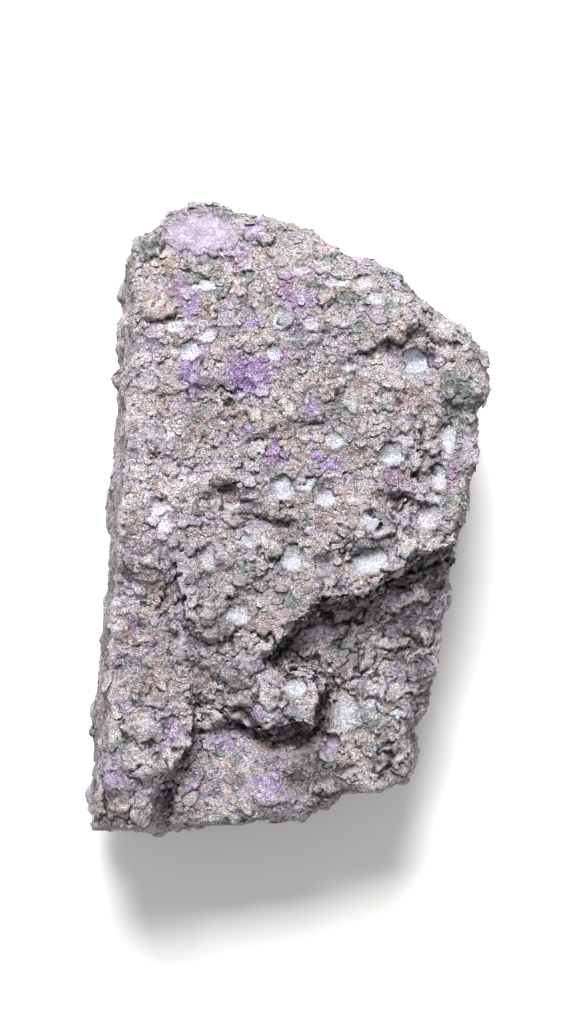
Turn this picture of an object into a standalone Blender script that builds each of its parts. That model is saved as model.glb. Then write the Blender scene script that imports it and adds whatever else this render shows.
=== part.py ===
"""A rough piece of sugilite rock that fills the palm, lying on its flat back.

One stone: a thick slab whose left side and back are flat joints in the rock, and whose upper
face is broken into steps. +Y is the narrow, lilac end, +Z is the broken face.
The slab is the outline extruded. It is then remeshed evenly, carved, chipped, pitted and
roughened by moving its vertices, and thinned to the facets that the forms need.
"""

import math

import bmesh
import bpy
import numpy as np
from mathutils import Vector, noise

MM = 0.001  # all sizes and places below are in millimetres

# Driving dimensions
LENGTH = 72.0  # along Y
WIDTH = 45.6  # along X
THICKNESS = 24.0  # from the flat back to the highest lump of the broken face

TRIANGLES = 9400  # facets in the finished solid
CARVING_GRID = 0.75  # spacing of the mesh that the steps are carved in
ROUGH_GRID = 0.5  # spacing of the mesh that the lumps and pits are made in

# The stone's outline seen from above, clockwise from its upper left corner
OUTLINE = [
    (-17.1, 29.4), (-16.2, 31.7), (-15.3, 33.0), (-14.0, 32.5), (-13.5, 33.7), (-12.8, 34.7),
    (-11.8, 34.7), (-10.4, 35.2), (-9.0, 35.3), (-6.9, 35.2), (-5.3, 34.7), (-4.2, 34.2),
    (-3.0, 34.7), (-1.9, 34.2), (-0.8, 33.3), (2.4, 33.1), (4.0, 32.1), (6.0, 31.4),
    (8.2, 30.1), (10.7, 29.0), (13.2, 27.4), (14.9, 25.2), (17.7, 22.8), (19.8, 21.2),
    (21.2, 20.2), (22.0, 18.3), (22.0, 15.8), (22.3, 14.2), (21.4, 12.4), (21.1, 10.0),
    (21.0, 7.2), (20.2, 5.2), (19.9, 2.2), (19.3, -1.4), (19.0, -4.1), (18.1, -8.1),
    (17.3, -12.8), (16.9, -16.1), (16.1, -20.1), (15.2, -22.6), (15.0, -25.6), (14.1, -28.6),
    (11.6, -29.4), (6.8, -30.3), (5.8, -31.6), (4.2, -32.2), (1.6, -33.1), (-1.0, -33.7),
    (-6.9, -34.2), (-13.2, -35.2), (-17.7, -34.9), (-20.3, -34.1), (-21.8, -32.4),
    (-22.3, -30.6), (-22.1, -28.1), (-21.4, -25.0), (-20.9, -22.6), (-20.4, -19.4),
    (-19.7, -14.4), (-19.4, -9.4), (-19.1, -2.2), (-18.8, 2.4), (-18.3, 6.1), (-18.2, 11.1),
    (-17.9, 15.2), (-17.7, 21.7), (-17.4, 26.7),
]

# The face's places below were read in a picture that shows it nearer, so larger, than the outline
FACE_NEARNESS = 1.05

# How far the broken face falls towards its edges
RIM_RADIUS = 2.6
CAP_START = 22.5  # beyond this y the face leans back into the lilac cap
CAP_SLOPE = 0.34
FOOT_START = -24.0  # below this y the face leans down to the wide end
FOOT_SLOPE = 0.10
RIGHT_LEAN = 0.035  # fall for each millimetre to the right of the middle

# Steps down from the broken face: the edge, the depth at a point inside and how the floor tilts.
# "lip" is the width over which the edge falls.
STEPS = {
    "right_recess": dict(
        edge=[
            (26, -2.2), (19.0, -3.2), (17.2, -4.2), (15.0, -4.3), (13.2, -5.9), (11.0, -7.0),
            (10.0, -8.3), (7.3, -8.9), (4.3, -8.5), (4.2, -10.1), (3.4, -10.9), (2.0, -11.1),
            (1.2, -12.3), (-0.2, -12.9), (-0.9, -14.6), (0.8, -16.0), (3.2, -16.4),
            (4.7, -17.5), (4.8, -19.5), (4.2, -21.5), (3.9, -23.6), (4.8, -26.5), (5.4, -38),
            (26, -38),
        ],
        at=(8.0, -10.0), depth=5.4, tilt=(-0.03, 0.09), lip=1.2,
    ),
    "bottom_floor": dict(
        edge=[
            (-9.6, -19.6), (-7.0, -21.6), (-4.9, -22.7), (-2.6, -23.9), (0.0, -24.4),
            (1.6, -23.6), (3.3, -23.2), (4.2, -23.8), (4.8, -26.5), (5.4, -38), (-14.3, -38),
            (-13.6, -33.0), (-12.6, -30.6), (-10.6, -28.2), (-9.5, -25.5), (-9.3, -22.0),
        ],
        at=(0.0, -25.0), depth=5.0, tilt=(0.04, 0.17), lip=1.1,
    ),
    "nose_tier": dict(
        edge=[
            (-11.2, -9.4), (-9.9, -11.4), (-8.6, -12.6), (-6.9, -13.3), (-5.0, -12.7),
            (-3.6, -13.9), (-1.2, -14.4), (0.8, -16.0), (3.2, -16.4), (6.0, -17.5),
            (6.0, -25.0), (0.0, -26.0), (-4.9, -24.5), (-9.8, -20.5), (-9.3, -17.5),
            (-10.2, -13.5),
        ],
        at=(-3.0, -17.0), depth=1.5, tilt=(0.0, -0.14), lip=1.2,
    ),
    "left_flank": dict(
        edge=[
            (-24, 1.0), (-16.5, -3.0), (-14.2, -5.2), (-12.0, -7.2), (-10.6, -12.0),
            (-9.6, -18.2), (-10.6, -19.3), (-14.6, -20.6), (-24, -20.0),
        ],
        at=(-15.0, -13.0), depth=1.3, tilt=(0.05, 0.0), lip=3.4,
    ),
    "pit_bay": dict(
        edge=[
            (9.0, 18.4), (10.3, 19.4), (12.3, 20.0), (13.5, 20.6), (14.4, 21.7), (16.2, 21.5),
            (18.0, 20.6), (18.9, 19.0), (18.2, 16.9), (15.6, 16.0), (12.6, 16.9),
        ],
        at=(15.0, 19.0), depth=1.4, tilt=(0.10, 0.12), lip=0.9,
    ),
    "green_facet": dict(
        edge=[
            (17.0, 14.8), (19.6, 14.6), (23.5, 13.2), (23.5, 8.6), (20.0, 9.6), (17.8, 12.0),
        ],
        at=(20.0, 12.0), depth=1.6, tilt=(0.25, 0.0), lip=0.9,
    ),
    "middle_crease": dict(
        edge=[
            (-6.6, 4.9), (-5.0, 4.6), (-3.2, 3.8), (-4.4, 2.4), (-2.2, 1.9), (0.4, 0.9),
            (2.2, -0.9), (3.2, -3.2), (1.8, -4.0), (0.6, -2.2), (-1.4, -0.6), (-4.2, 0.4),
            (-6.2, 1.6), (-7.3, 3.4),
        ],
        at=(-3.0, 2.0), depth=1.3, tilt=(0.0, 0.0), lip=0.8,
    ),
    "under_ledge_shelf": dict(
        edge=[(10.4, -7.8), (16.4, -6.6), (16.2, -9.0), (13.4, -10.7), (10.0, -9.4)],
        at=(13.0, -9.0), depth=-1.9, tilt=(0.0, 0.0), lip=0.8,
    ),
}

# Narrow clefts: the line they follow, their width and how deep they are
CLEFTS = {
    "corner_cleft": dict(
        path=[(-9.7, -27.4), (-11.6, -30.0), (-13.0, -32.0), (-13.6, -36.0)], width=1.7, depth=2.6
    ),
    "corner_fold": dict(
        path=[(-15.6, -21.0), (-13.6, -19.6), (-10.8, -19.2), (-9.4, -20.4)], width=1.4, depth=1.6
    ),
    "upper_right_crack": dict(
        path=[(8.8, 18.7), (10.2, 19.7), (12.2, 20.1), (13.5, 20.7), (14.5, 22.0), (15.4, 22.9)],
        width=1.0, depth=1.2,
    ),
    "right_rim_split": dict(
        path=[(20.4, 10.2), (19.4, 6.4), (18.6, 2.4), (17.9, -2.2)], width=1.5, depth=1.3
    ),
    "under_purple_crack": dict(
        path=[(-13.6, 14.2), (-11.0, 14.1), (-8.6, 14.9), (-5.0, 15.2)], width=1.0, depth=0.8
    ),
    "recess_cleft": dict(
        path=[(11.2, -13.8), (13.0, -13.3), (15.2, -14.1), (18.0, -14.4)], width=1.5, depth=1.5
    ),
    "lower_recess_cleft": dict(
        path=[(12.4, -24.0), (10.6, -25.4), (9.4, -26.6), (7.2, -27.4), (5.4, -28.4)],
        width=1.4, depth=1.4,
    ),
    "nose_root": dict(
        path=[(-9.2, -12.6), (-7.2, -13.6), (-5.4, -13.2), (-4.2, -14.2)], width=1.4, depth=1.2
    ),
}

# Lumps that stand out of the broken face: middle, radii along X and Y, height
LUMPS = {
    "corner_block": (-15.6, -27.2, 6.2, 7.4, 1.5),
    "corner_block_crown": (-15.6, -22.6, 3.0, 1.8, 0.8),
    "nose": (-0.8, -20.6, 4.8, 3.2, 1.2),
    "nose_bridge": (-5.4, -16.6, 3.2, 2.2, 0.7),
    "middle_block": (-1.2, -2.2, 1.6, 2.4, 1.1),
    "ledge_tip": (9.4, -5.4, 3.2, 2.0, 0.8),
    "ledge_shoulder": (-0.6, -9.6, 4.2, 2.6, 0.8),
    "shelf_over_nose": (-7.6, -9.8, 3.4, 2.2, 1.0),
    "recess_rib": (9.6, -14.6, 2.2, 3.6, 1.0),
    "recess_mass": (10.6, -20.4, 3.4, 4.0, 1.1),
    "recess_corner": (12.6, -26.0, 2.4, 2.6, 1.0),
    "recess_wall": (7.6, -22.2, 1.2, 3.6, 0.7),
    "rim_pebble": (11.5, -0.9, 1.4, 0.9, 0.7),
    "upper_left_swell": (-9.0, 24.0, 6.5, 5.0, 0.8),
    "brow": (-6.0, 30.6, 6.4, 2.2, 0.7),
    "right_swell": (12.8, 10.0, 5.5, 6.0, 0.7),
    "brown_block": (-14.2, 24.4, 2.6, 1.7, 0.9),
}

# Bowl-shaped pits with a smooth floor: middle, radii along X and Y, depth
PITS = {
    "bay_pit": (15.6, 18.4, 1.8, 1.3, 1.7),
    "under_cap_hollow": (-8.2, 29.5, 3.3, 1.5, 1.2),
    "long_pit": (-8.6, 26.9, 1.6, 0.7, 0.7),
    "round_pit": (-10.4, 19.7, 1.3, 1.1, 0.8),
    "cap_pit": (5.6, 27.3, 1.5, 0.9, 0.7),
    "upper_pit": (-0.6, 23.2, 1.0, 1.1, 0.7),
    "purple_side_pit": (6.1, 9.4, 1.3, 1.2, 0.9),
    "right_bowl": (12.1, 8.1, 1.5, 1.3, 1.0),
    "twin_pit_low": (-0.1, 4.2, 1.3, 1.6, 0.9),
    "twin_pit_high": (2.4, 4.8, 1.3, 1.3, 0.8),
    "middle_bowl": (4.8, 3.4, 1.4, 1.1, 0.9),
    "lower_bowl": (9.7, 0.9, 1.2, 1.1, 0.9),
    "edge_bowl_high": (18.2, 10.2, 1.1, 1.5, 1.1),
    "edge_bowl": (17.1, 5.4, 1.2, 1.2, 1.1),
    "edge_bowl_low": (15.8, 1.0, 1.7, 1.6, 1.1),
    "dark_hole": (13.3, 2.6, 1.1, 1.0, 1.6),
    "big_bowl": (9.0, -3.9, 2.1, 1.5, 1.3),
    "ledge_bowl": (1.6, -3.6, 1.3, 1.5, 0.9),
    "ledge_bowl_right": (4.8, -4.6, 1.2, 1.2, 1.2),
    "left_bowl": (-13.4, 1.2, 1.6, 2.2, 0.9),
    "left_bowl_low": (-8.2, -3.5, 1.1, 1.5, 0.8),
    "nose_bowl": (1.4, -18.2, 1.6, 1.2, 0.8),
    "shelf_bowl": (-4.9, -10.2, 1.6, 1.0, 0.6),
    "recess_bowl": (5.9, -19.6, 1.4, 2.6, 0.9),
    "crease_hole": (-5.8, 3.9, 1.3, 0.9, 1.2),
    "flank_hollow": (-13.0, -8.2, 1.9, 2.6, 1.3),
    "corner_pit": (-13.6, -25.6, 1.0, 0.9, 0.9),
}

# Flat joints and chips: a point on each plane and the way it faces, outwards
JOINTS = {
    "left_joint": ((-18.9, 4.0, 8.0), (-0.985, 0.064, 0.15)),
    "foot_joint": ((-14.0, -35.0, 9.0), (0.05, -0.985, 0.15)),
    "head_slant": ((-2.0, 35.6, 10.0), (0.05, 0.96, -0.26)),
    "upper_right_slant": ((15.0, 26.0, 12.0), (0.66, 0.74, -0.08)),
    "right_slant": ((19.8, 0.0, 12.0), (0.97, -0.10, -0.18)),
}
BACK_CHIPS = {
    "left_upper": ((-17.2, 18.0, 0.0), (-0.88, 0.16, -0.45)),
    "left_middle": ((-16.0, -4.0, 0.0), (-0.74, -0.06, -0.67)),
    "left_foot": ((-17.4, -26.0, 0.0), (-0.66, -0.40, -0.64)),
    "foot": ((-4.0, -31.4, 0.0), (0.10, -0.78, -0.62)),
    "foot_right": ((8.0, -25.4, 0.0), (0.52, -0.62, -0.59)),
    "right_lower": ((13.0, -14.0, 0.0), (0.80, -0.16, -0.58)),
    "right_middle": ((16.6, 4.0, 0.0), (0.86, 0.05, -0.51)),
    "right_upper": ((14.4, 17.0, 0.0), (0.68, 0.42, -0.60)),
    "head_right": ((5.0, 25.6, 0.0), (0.36, 0.70, -0.61)),
    "head": ((-9.0, 30.2, 0.0), (-0.10, 0.80, -0.59)),
    "front_foot_corner": ((-19.9, -32.4, 20.0), (-0.55, -0.45, 0.70)),
}

BACK_CUT = 0.55  # everything lower than this is flattened onto the back

# Shallow hollows in the flat back: middle, radii along X and Y, depth
BACK_HOLLOWS = {
    "broad_hollow": (4.5, 9.0, 7.5, 5.0, 1.3),
    "long_hollow": (-8.0, -9.5, 4.2, 8.5, 1.1),
    "small_hollow": (7.0, -13.0, 3.2, 2.6, 0.8),
}

NUB = dict(at=(-18.3, 16.2, 15.0), radius=1.35)  # a small knob on the left side

# Roughness: size of the lumps, how far they stand out
SIDE_SWELL = (9.0, 0.9)
LUMP_ROUGHNESS = (5.6, 0.75)
GRAIN_ROUGHNESS = (3.0, 0.25)
SCALES = dict(size=4.0, lift=0.42)  # overlapping scales that the face breaks into


def ramp(t):
    """0 up to t 0, 1 from t 1, smooth between."""
    t = np.clip(t, 0.0, 1.0)
    return t * t * (3.0 - 2.0 * t)


def distance_to_line(xy, path, closed=False):
    """Distance of each point to a line through the path's points."""
    points = np.array(path, float)
    ends = np.roll(points, -1, axis=0) if closed else points[1:]
    nearest = np.full(len(xy), np.inf)
    for a, b in zip(points, ends):
        along = b - a
        t = np.clip(((xy - a) @ along) / (along @ along), 0.0, 1.0)
        gap = xy - (a + t[:, None] * along)
        nearest = np.minimum(nearest, np.hypot(gap[:, 0], gap[:, 1]))
    return nearest


def depth_inside(xy, loop):
    """Distance to a closed outline, positive inside it."""
    points = np.array(loop, float)
    inside = np.zeros(len(xy), bool)
    for a, b in zip(points, np.roll(points, -1, axis=0)):
        crosses = (a[1] > xy[:, 1]) != (b[1] > xy[:, 1])
        run = b[1] - a[1] or 1.0
        at_x = a[0] + (xy[:, 1] - a[1]) * (b[0] - a[0]) / run
        inside ^= crosses & (xy[:, 0] < at_x)
    return np.where(inside, 1.0, -1.0) * distance_to_line(xy, loop, closed=True)


def oval(xy, x, y, radius_x, radius_y):
    """0 in the middle of an oval and 1 on its edge."""
    return np.hypot((xy[:, 0] - x) / radius_x, (xy[:, 1] - y) / radius_y)


def ragged(points, size, reach):
    """Points moved sideways by smooth noise, so that an edge followed with them is ragged."""
    moves = [noise.noise_vector(Vector(p) / size) for p in points]
    return points + reach * np.array([tuple(m) for m in moves])


def vertices_of(mesh):
    flat = np.empty(len(mesh.vertices) * 3, np.float32)
    mesh.vertices.foreach_get("co", flat)
    return flat.reshape(-1, 3).astype(float)


def normals_of(mesh):
    flat = np.empty(len(mesh.vertices) * 3, np.float32)
    mesh.vertex_normals.foreach_get("vector", flat)
    return flat.reshape(-1, 3).astype(float)


def move_vertices(mesh, points):
    mesh.vertices.foreach_set("co", points.astype(np.float32).ravel())
    mesh.update()


def settle(stone):
    """Gives the object the mesh that its modifiers make of it."""
    graph = bpy.context.evaluated_depsgraph_get()
    mesh = bpy.data.meshes.new_from_object(stone.evaluated_get(graph))
    stone.modifiers.clear()
    stone.data = mesh


def remesh(stone, spacing):
    modifier = stone.modifiers.new("even_mesh", "REMESH")
    modifier.mode = "VOXEL"
    modifier.voxel_size = spacing
    settle(stone)


def thin_out(stone, triangles):
    """Keeps the facets that the form needs."""
    now = sum(len(face.vertices) - 2 for face in stone.data.polygons)
    modifier = stone.modifiers.new("facets", "DECIMATE")
    modifier.ratio = triangles / now
    modifier.use_collapse_triangulate = True
    settle(stone)


def slab():
    """The outline extruded to the stone's thickness, as a mesh."""
    curve = bpy.data.curves.new("outline", "CURVE")
    curve.dimensions = "2D"
    curve.fill_mode = "BOTH"
    curve.extrude = THICKNESS / 2
    spline = curve.splines.new("POLY")
    spline.points.add(len(OUTLINE) - 1)
    for point, (x, y) in zip(spline.points, OUTLINE):
        point.co = (x, y, 0.0, 1.0)
    spline.use_cyclic_u = True
    guide = bpy.data.objects.new("outline", curve)
    bpy.context.scene.collection.objects.link(guide)
    bpy.context.view_layer.update()
    graph = bpy.context.evaluated_depsgraph_get()
    mesh = bpy.data.meshes.new_from_object(guide.evaluated_get(graph))
    bpy.data.objects.remove(guide)
    form = bmesh.new()
    form.from_mesh(mesh)
    bmesh.ops.remove_doubles(form, verts=form.verts, dist=0.001)
    bmesh.ops.recalc_face_normals(form, faces=form.faces)
    bmesh.ops.translate(form, verts=form.verts, vec=(0.0, 0.0, THICKNESS / 2))
    form.to_mesh(mesh)
    form.free()
    return mesh


def face_depth(points):
    """How far the broken face lies below the slab's top, from its lean, steps, clefts and lumps."""
    xy = points[:, :2]
    inset = np.clip(depth_inside(xy, OUTLINE), 0.0, RIM_RADIUS) / RIM_RADIUS
    depth = RIM_RADIUS * (1.0 - np.sqrt(1.0 - (1.0 - inset) ** 2))
    depth += CAP_SLOPE * np.clip(xy[:, 1] - CAP_START, 0.0, None)
    depth += FOOT_SLOPE * np.clip(FOOT_START - xy[:, 1], 0.0, None)
    depth += RIGHT_LEAN * np.clip(xy[:, 0], 0.0, None)
    wavy = ragged(points, 2.2, 0.55)[:, :2] * FACE_NEARNESS
    for step in STEPS.values():
        x0, y0 = step["at"]
        tilt_x, tilt_y = step["tilt"]
        floor = step["depth"] + tilt_x * (xy[:, 0] - x0) + tilt_y * (xy[:, 1] - y0)
        depth += floor * ramp(0.5 + depth_inside(wavy, step["edge"]) / step["lip"])
    for cleft in CLEFTS.values():
        beside = distance_to_line(wavy, cleft["path"]) / (cleft["width"] / 2)
        depth += cleft["depth"] * ramp(1.0 - beside)
    for x, y, radius_x, radius_y, height in LUMPS.values():
        depth -= height * ramp(1.15 - oval(wavy, x, y, radius_x, radius_y))
    return depth


def carve_face(stone):
    points = vertices_of(stone.data)
    near_top = ramp((points[:, 2] - 0.35 * THICKNESS) / (0.6 * THICKNESS))
    points[:, 2] -= near_top * face_depth(points)
    move_vertices(stone.data, points)


def add_knob(stone):
    """The knob on the left side, joined to the stone."""
    bpy.ops.mesh.primitive_ico_sphere_add(subdivisions=3, radius=NUB["radius"], location=NUB["at"])
    knob = bpy.context.object
    knob.name = "knob_tool"
    join = stone.modifiers.new("knob", "BOOLEAN")
    join.operation = "UNION"
    join.object = knob
    settle(stone)
    bpy.data.objects.remove(knob)


def swell_sides(stone):
    """Broad waves over the whole stone, so that no side is straight."""
    points = vertices_of(stone.data)
    size, reach = SIDE_SWELL
    waves = np.array([noise.fractal(Vector(p) / size, 0.6, 2.0, 3) for p in points])
    move_vertices(stone.data, points + normals_of(stone.data) * (waves * reach)[:, None])


def chip(stone, planes):
    """Brings whatever stands beyond a plane back onto it, as a flat joint or a chip."""
    points = vertices_of(stone.data)
    for at, facing in planes.values():
        away = np.array(facing) / np.linalg.norm(facing)
        beyond = (points - np.array(at)) @ away
        points -= np.clip(beyond, 0.0, None)[:, None] * away
    move_vertices(stone.data, points)


def roughen(stone):
    """Lumps, overlapping scales and grains, all standing out along the surface's own normal."""
    points = vertices_of(stone.data)
    normals = normals_of(stone.data)
    lump_size, lump_reach = LUMP_ROUGHNESS
    grain_size, grain_reach = GRAIN_ROUGHNESS
    warped = ragged(points, 3.0, 0.9)
    rise = np.empty(len(points))
    for i, (point, bent) in enumerate(zip(points, warped)):
        lump = noise.fractal(Vector(point) / lump_size, 0.8, 2.1, 3)
        grain = noise.noise(Vector(point) / grain_size)
        gaps, cores = noise.voronoi(Vector(bent) / SCALES["size"])
        lean = (Vector(bent) / SCALES["size"] - cores[0]).dot(noise.cell_vector(cores[0] * 7.0))
        scale = ramp((gaps[1] - gaps[0]) / 0.30) - 0.7 + 0.9 * lean
        rise[i] = lump * lump_reach + grain * grain_reach + scale * SCALES["lift"]
    smooth_back = 0.45 + 0.55 * ramp((points[:, 2] - 1.0) / 6.0)
    smooth_joint = 1.0 - 0.6 * ramp(-normals[:, 0] - 0.5) * ramp((points[:, 1] + 20.0) / 6.0)
    rise *= smooth_back * smooth_joint
    move_vertices(stone.data, points + normals * rise[:, None])


def sink_pits(stone):
    """The bowl-shaped pits in the broken face."""
    points = vertices_of(stone.data)
    facing_up = ramp(normals_of(stone.data)[:, 2] / 0.4) * ramp((points[:, 2] - 9.0) / 3.0)
    face_xy = points[:, :2] * FACE_NEARNESS
    for x, y, radius_x, radius_y, depth in PITS.values():
        inward = np.clip(1.0 - oval(face_xy, x, y, radius_x, radius_y) ** 2, 0.0, None)
        points[:, 2] -= depth * np.sqrt(inward) * facing_up
    move_vertices(stone.data, points)


def flatten_back(stone):
    """The flat back that the stone lies on, with its shallow hollows."""
    points = vertices_of(stone.data)
    back = ramp(-normals_of(stone.data)[:, 2] / 0.5) * ramp((4.0 - points[:, 2]) / 2.0)
    for x, y, radius_x, radius_y, depth in BACK_HOLLOWS.values():
        points[:, 2] += depth * back * ramp(1.1 - oval(points[:, :2], x, y, radius_x, radius_y))
    points[:, 2] = np.maximum(points[:, 2], BACK_CUT)
    move_vertices(stone.data, points)


def fit_to_size(stone):
    """Brings the stone to its driving dimensions, in metres, standing on the middle of its base."""
    points = vertices_of(stone.data)
    points[:, 2] = np.where(points[:, 2] < BACK_CUT + 0.02, BACK_CUT, points[:, 2])
    low, high = points.min(axis=0), points.max(axis=0)
    middle = np.array([(low[0] + high[0]) / 2, (low[1] + high[1]) / 2, low[2]])
    scale = np.array([WIDTH, LENGTH, THICKNESS]) / (high - low)
    move_vertices(stone.data, (points - middle) * scale * MM)


def rock_material():
    """Matt grey-mauve manganese rock, the colour that the purple grains sit in."""
    rock = bpy.data.materials.new("sugilite_rock")
    rock.use_nodes = True
    surface = rock.node_tree.nodes["Principled BSDF"]
    surface.inputs["Base Color"].default_value = (0.30, 0.27, 0.29, 1.0)
    surface.inputs["Roughness"].default_value = 0.8
    surface.inputs["Metallic"].default_value = 0.0
    return rock


def main():
    for old in list(bpy.data.objects):
        bpy.data.objects.remove(old)
    stone = bpy.data.objects.new("sugilite_stone", slab())
    parts = bpy.data.collections.new("sugilite")
    bpy.context.scene.collection.children.link(parts)
    parts.objects.link(stone)
    remesh(stone, CARVING_GRID)
    carve_face(stone)
    swell_sides(stone)
    chip(stone, JOINTS)
    add_knob(stone)
    remesh(stone, ROUGH_GRID)
    chip(stone, BACK_CHIPS)
    roughen(stone)
    sink_pits(stone)
    flatten_back(stone)
    thin_out(stone, TRIANGLES)
    fit_to_size(stone)
    stone.data.name = "sugilite_stone"
    stone.data.materials.append(rock_material())
    stone.data.shade_smooth()
    stone.data.set_sharp_from_angle(angle=math.radians(40.0))


main()
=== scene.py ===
import bmesh
import bpy
import numpy as np
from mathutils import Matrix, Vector


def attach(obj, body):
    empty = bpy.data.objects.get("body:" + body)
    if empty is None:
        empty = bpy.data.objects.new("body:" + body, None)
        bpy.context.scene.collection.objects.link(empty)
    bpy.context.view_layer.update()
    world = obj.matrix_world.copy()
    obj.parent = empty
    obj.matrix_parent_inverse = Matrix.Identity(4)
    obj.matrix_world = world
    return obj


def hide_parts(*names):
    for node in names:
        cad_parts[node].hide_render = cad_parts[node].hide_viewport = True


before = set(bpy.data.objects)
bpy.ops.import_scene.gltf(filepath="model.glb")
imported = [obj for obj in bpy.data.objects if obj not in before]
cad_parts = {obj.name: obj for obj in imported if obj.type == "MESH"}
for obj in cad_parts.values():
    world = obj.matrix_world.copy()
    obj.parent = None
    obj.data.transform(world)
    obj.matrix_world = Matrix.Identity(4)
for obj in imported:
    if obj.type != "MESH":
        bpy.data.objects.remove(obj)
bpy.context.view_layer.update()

mm = 0.001
print("frame loaded")


# camera: straight above the stone, as the photo looks at it, with the lilac end at the top
camera = dict(
    height=0.275,  # above the floor
    aim=(0.00046, 0.0014),  # the spot it looks straight down on
    lens=82.3,
    sensor=36.0,  # mm, along the picture's long side
    picture=(576, 1024),
)


def onFace(px, py, height=0.0215):
    # the place in mm on the broken face that shows at a pixel of the picture
    size = camera["sensor"] / camera["lens"] / camera["picture"][1] * (camera["height"] - height)
    x = camera["aim"][0] + (px - camera["picture"][0] / 2) * size
    y = camera["aim"][1] + (camera["picture"][1] / 2 - py) * size
    return x / mm, y / mm


pixel = onFace(1, 0)[0] - onFace(0, 0)[0]  # mm on the face for each pixel

view = bpy.data.objects.new("camera", bpy.data.cameras.new("camera"))
bpy.context.scene.collection.objects.link(view)
view.location = (*camera["aim"], camera["height"])
view.data.lens = camera["lens"]
view.data.sensor_width = camera["sensor"]
view.data.clip_start = 0.01
bpy.context.scene.camera = view


# stone: what a user would change about its surface; places are pixels of the picture
stone = dict(
    node="sugilite_stone",
    body="root",
    slot="sugilite_rock",
    roundLevels=2,  # how far the solid's facets are rounded before the detail goes on
    grid=0.225,  # mm between points while the detail is made
    triangles=199000,
    coarseBack=0.9,  # how much more the sides and back are thinned than the face
    scaleReach=1.0,  # strength of the scales and cracks
    lowerHalf=(-5.0, -6.0),  # mm, where the lower half of the face begins and how softly
    calmBelow=0.34,  # how much weaker the scales, ledges and lumps are there
    wallReach=0.4,  # how much stronger they are on the sides
    wallSwell=0.22,  # mm, how far the sides swell in and out
    pitReach=0.46,  # strength of the pits
    torn=[(0.30, 2.6, 3), (0.15, 1.0, 5)],  # how far outlines are shifted, over which wavelength, random seed
    tornBowls=0.45,  # how much of that the pits get
)

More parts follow.
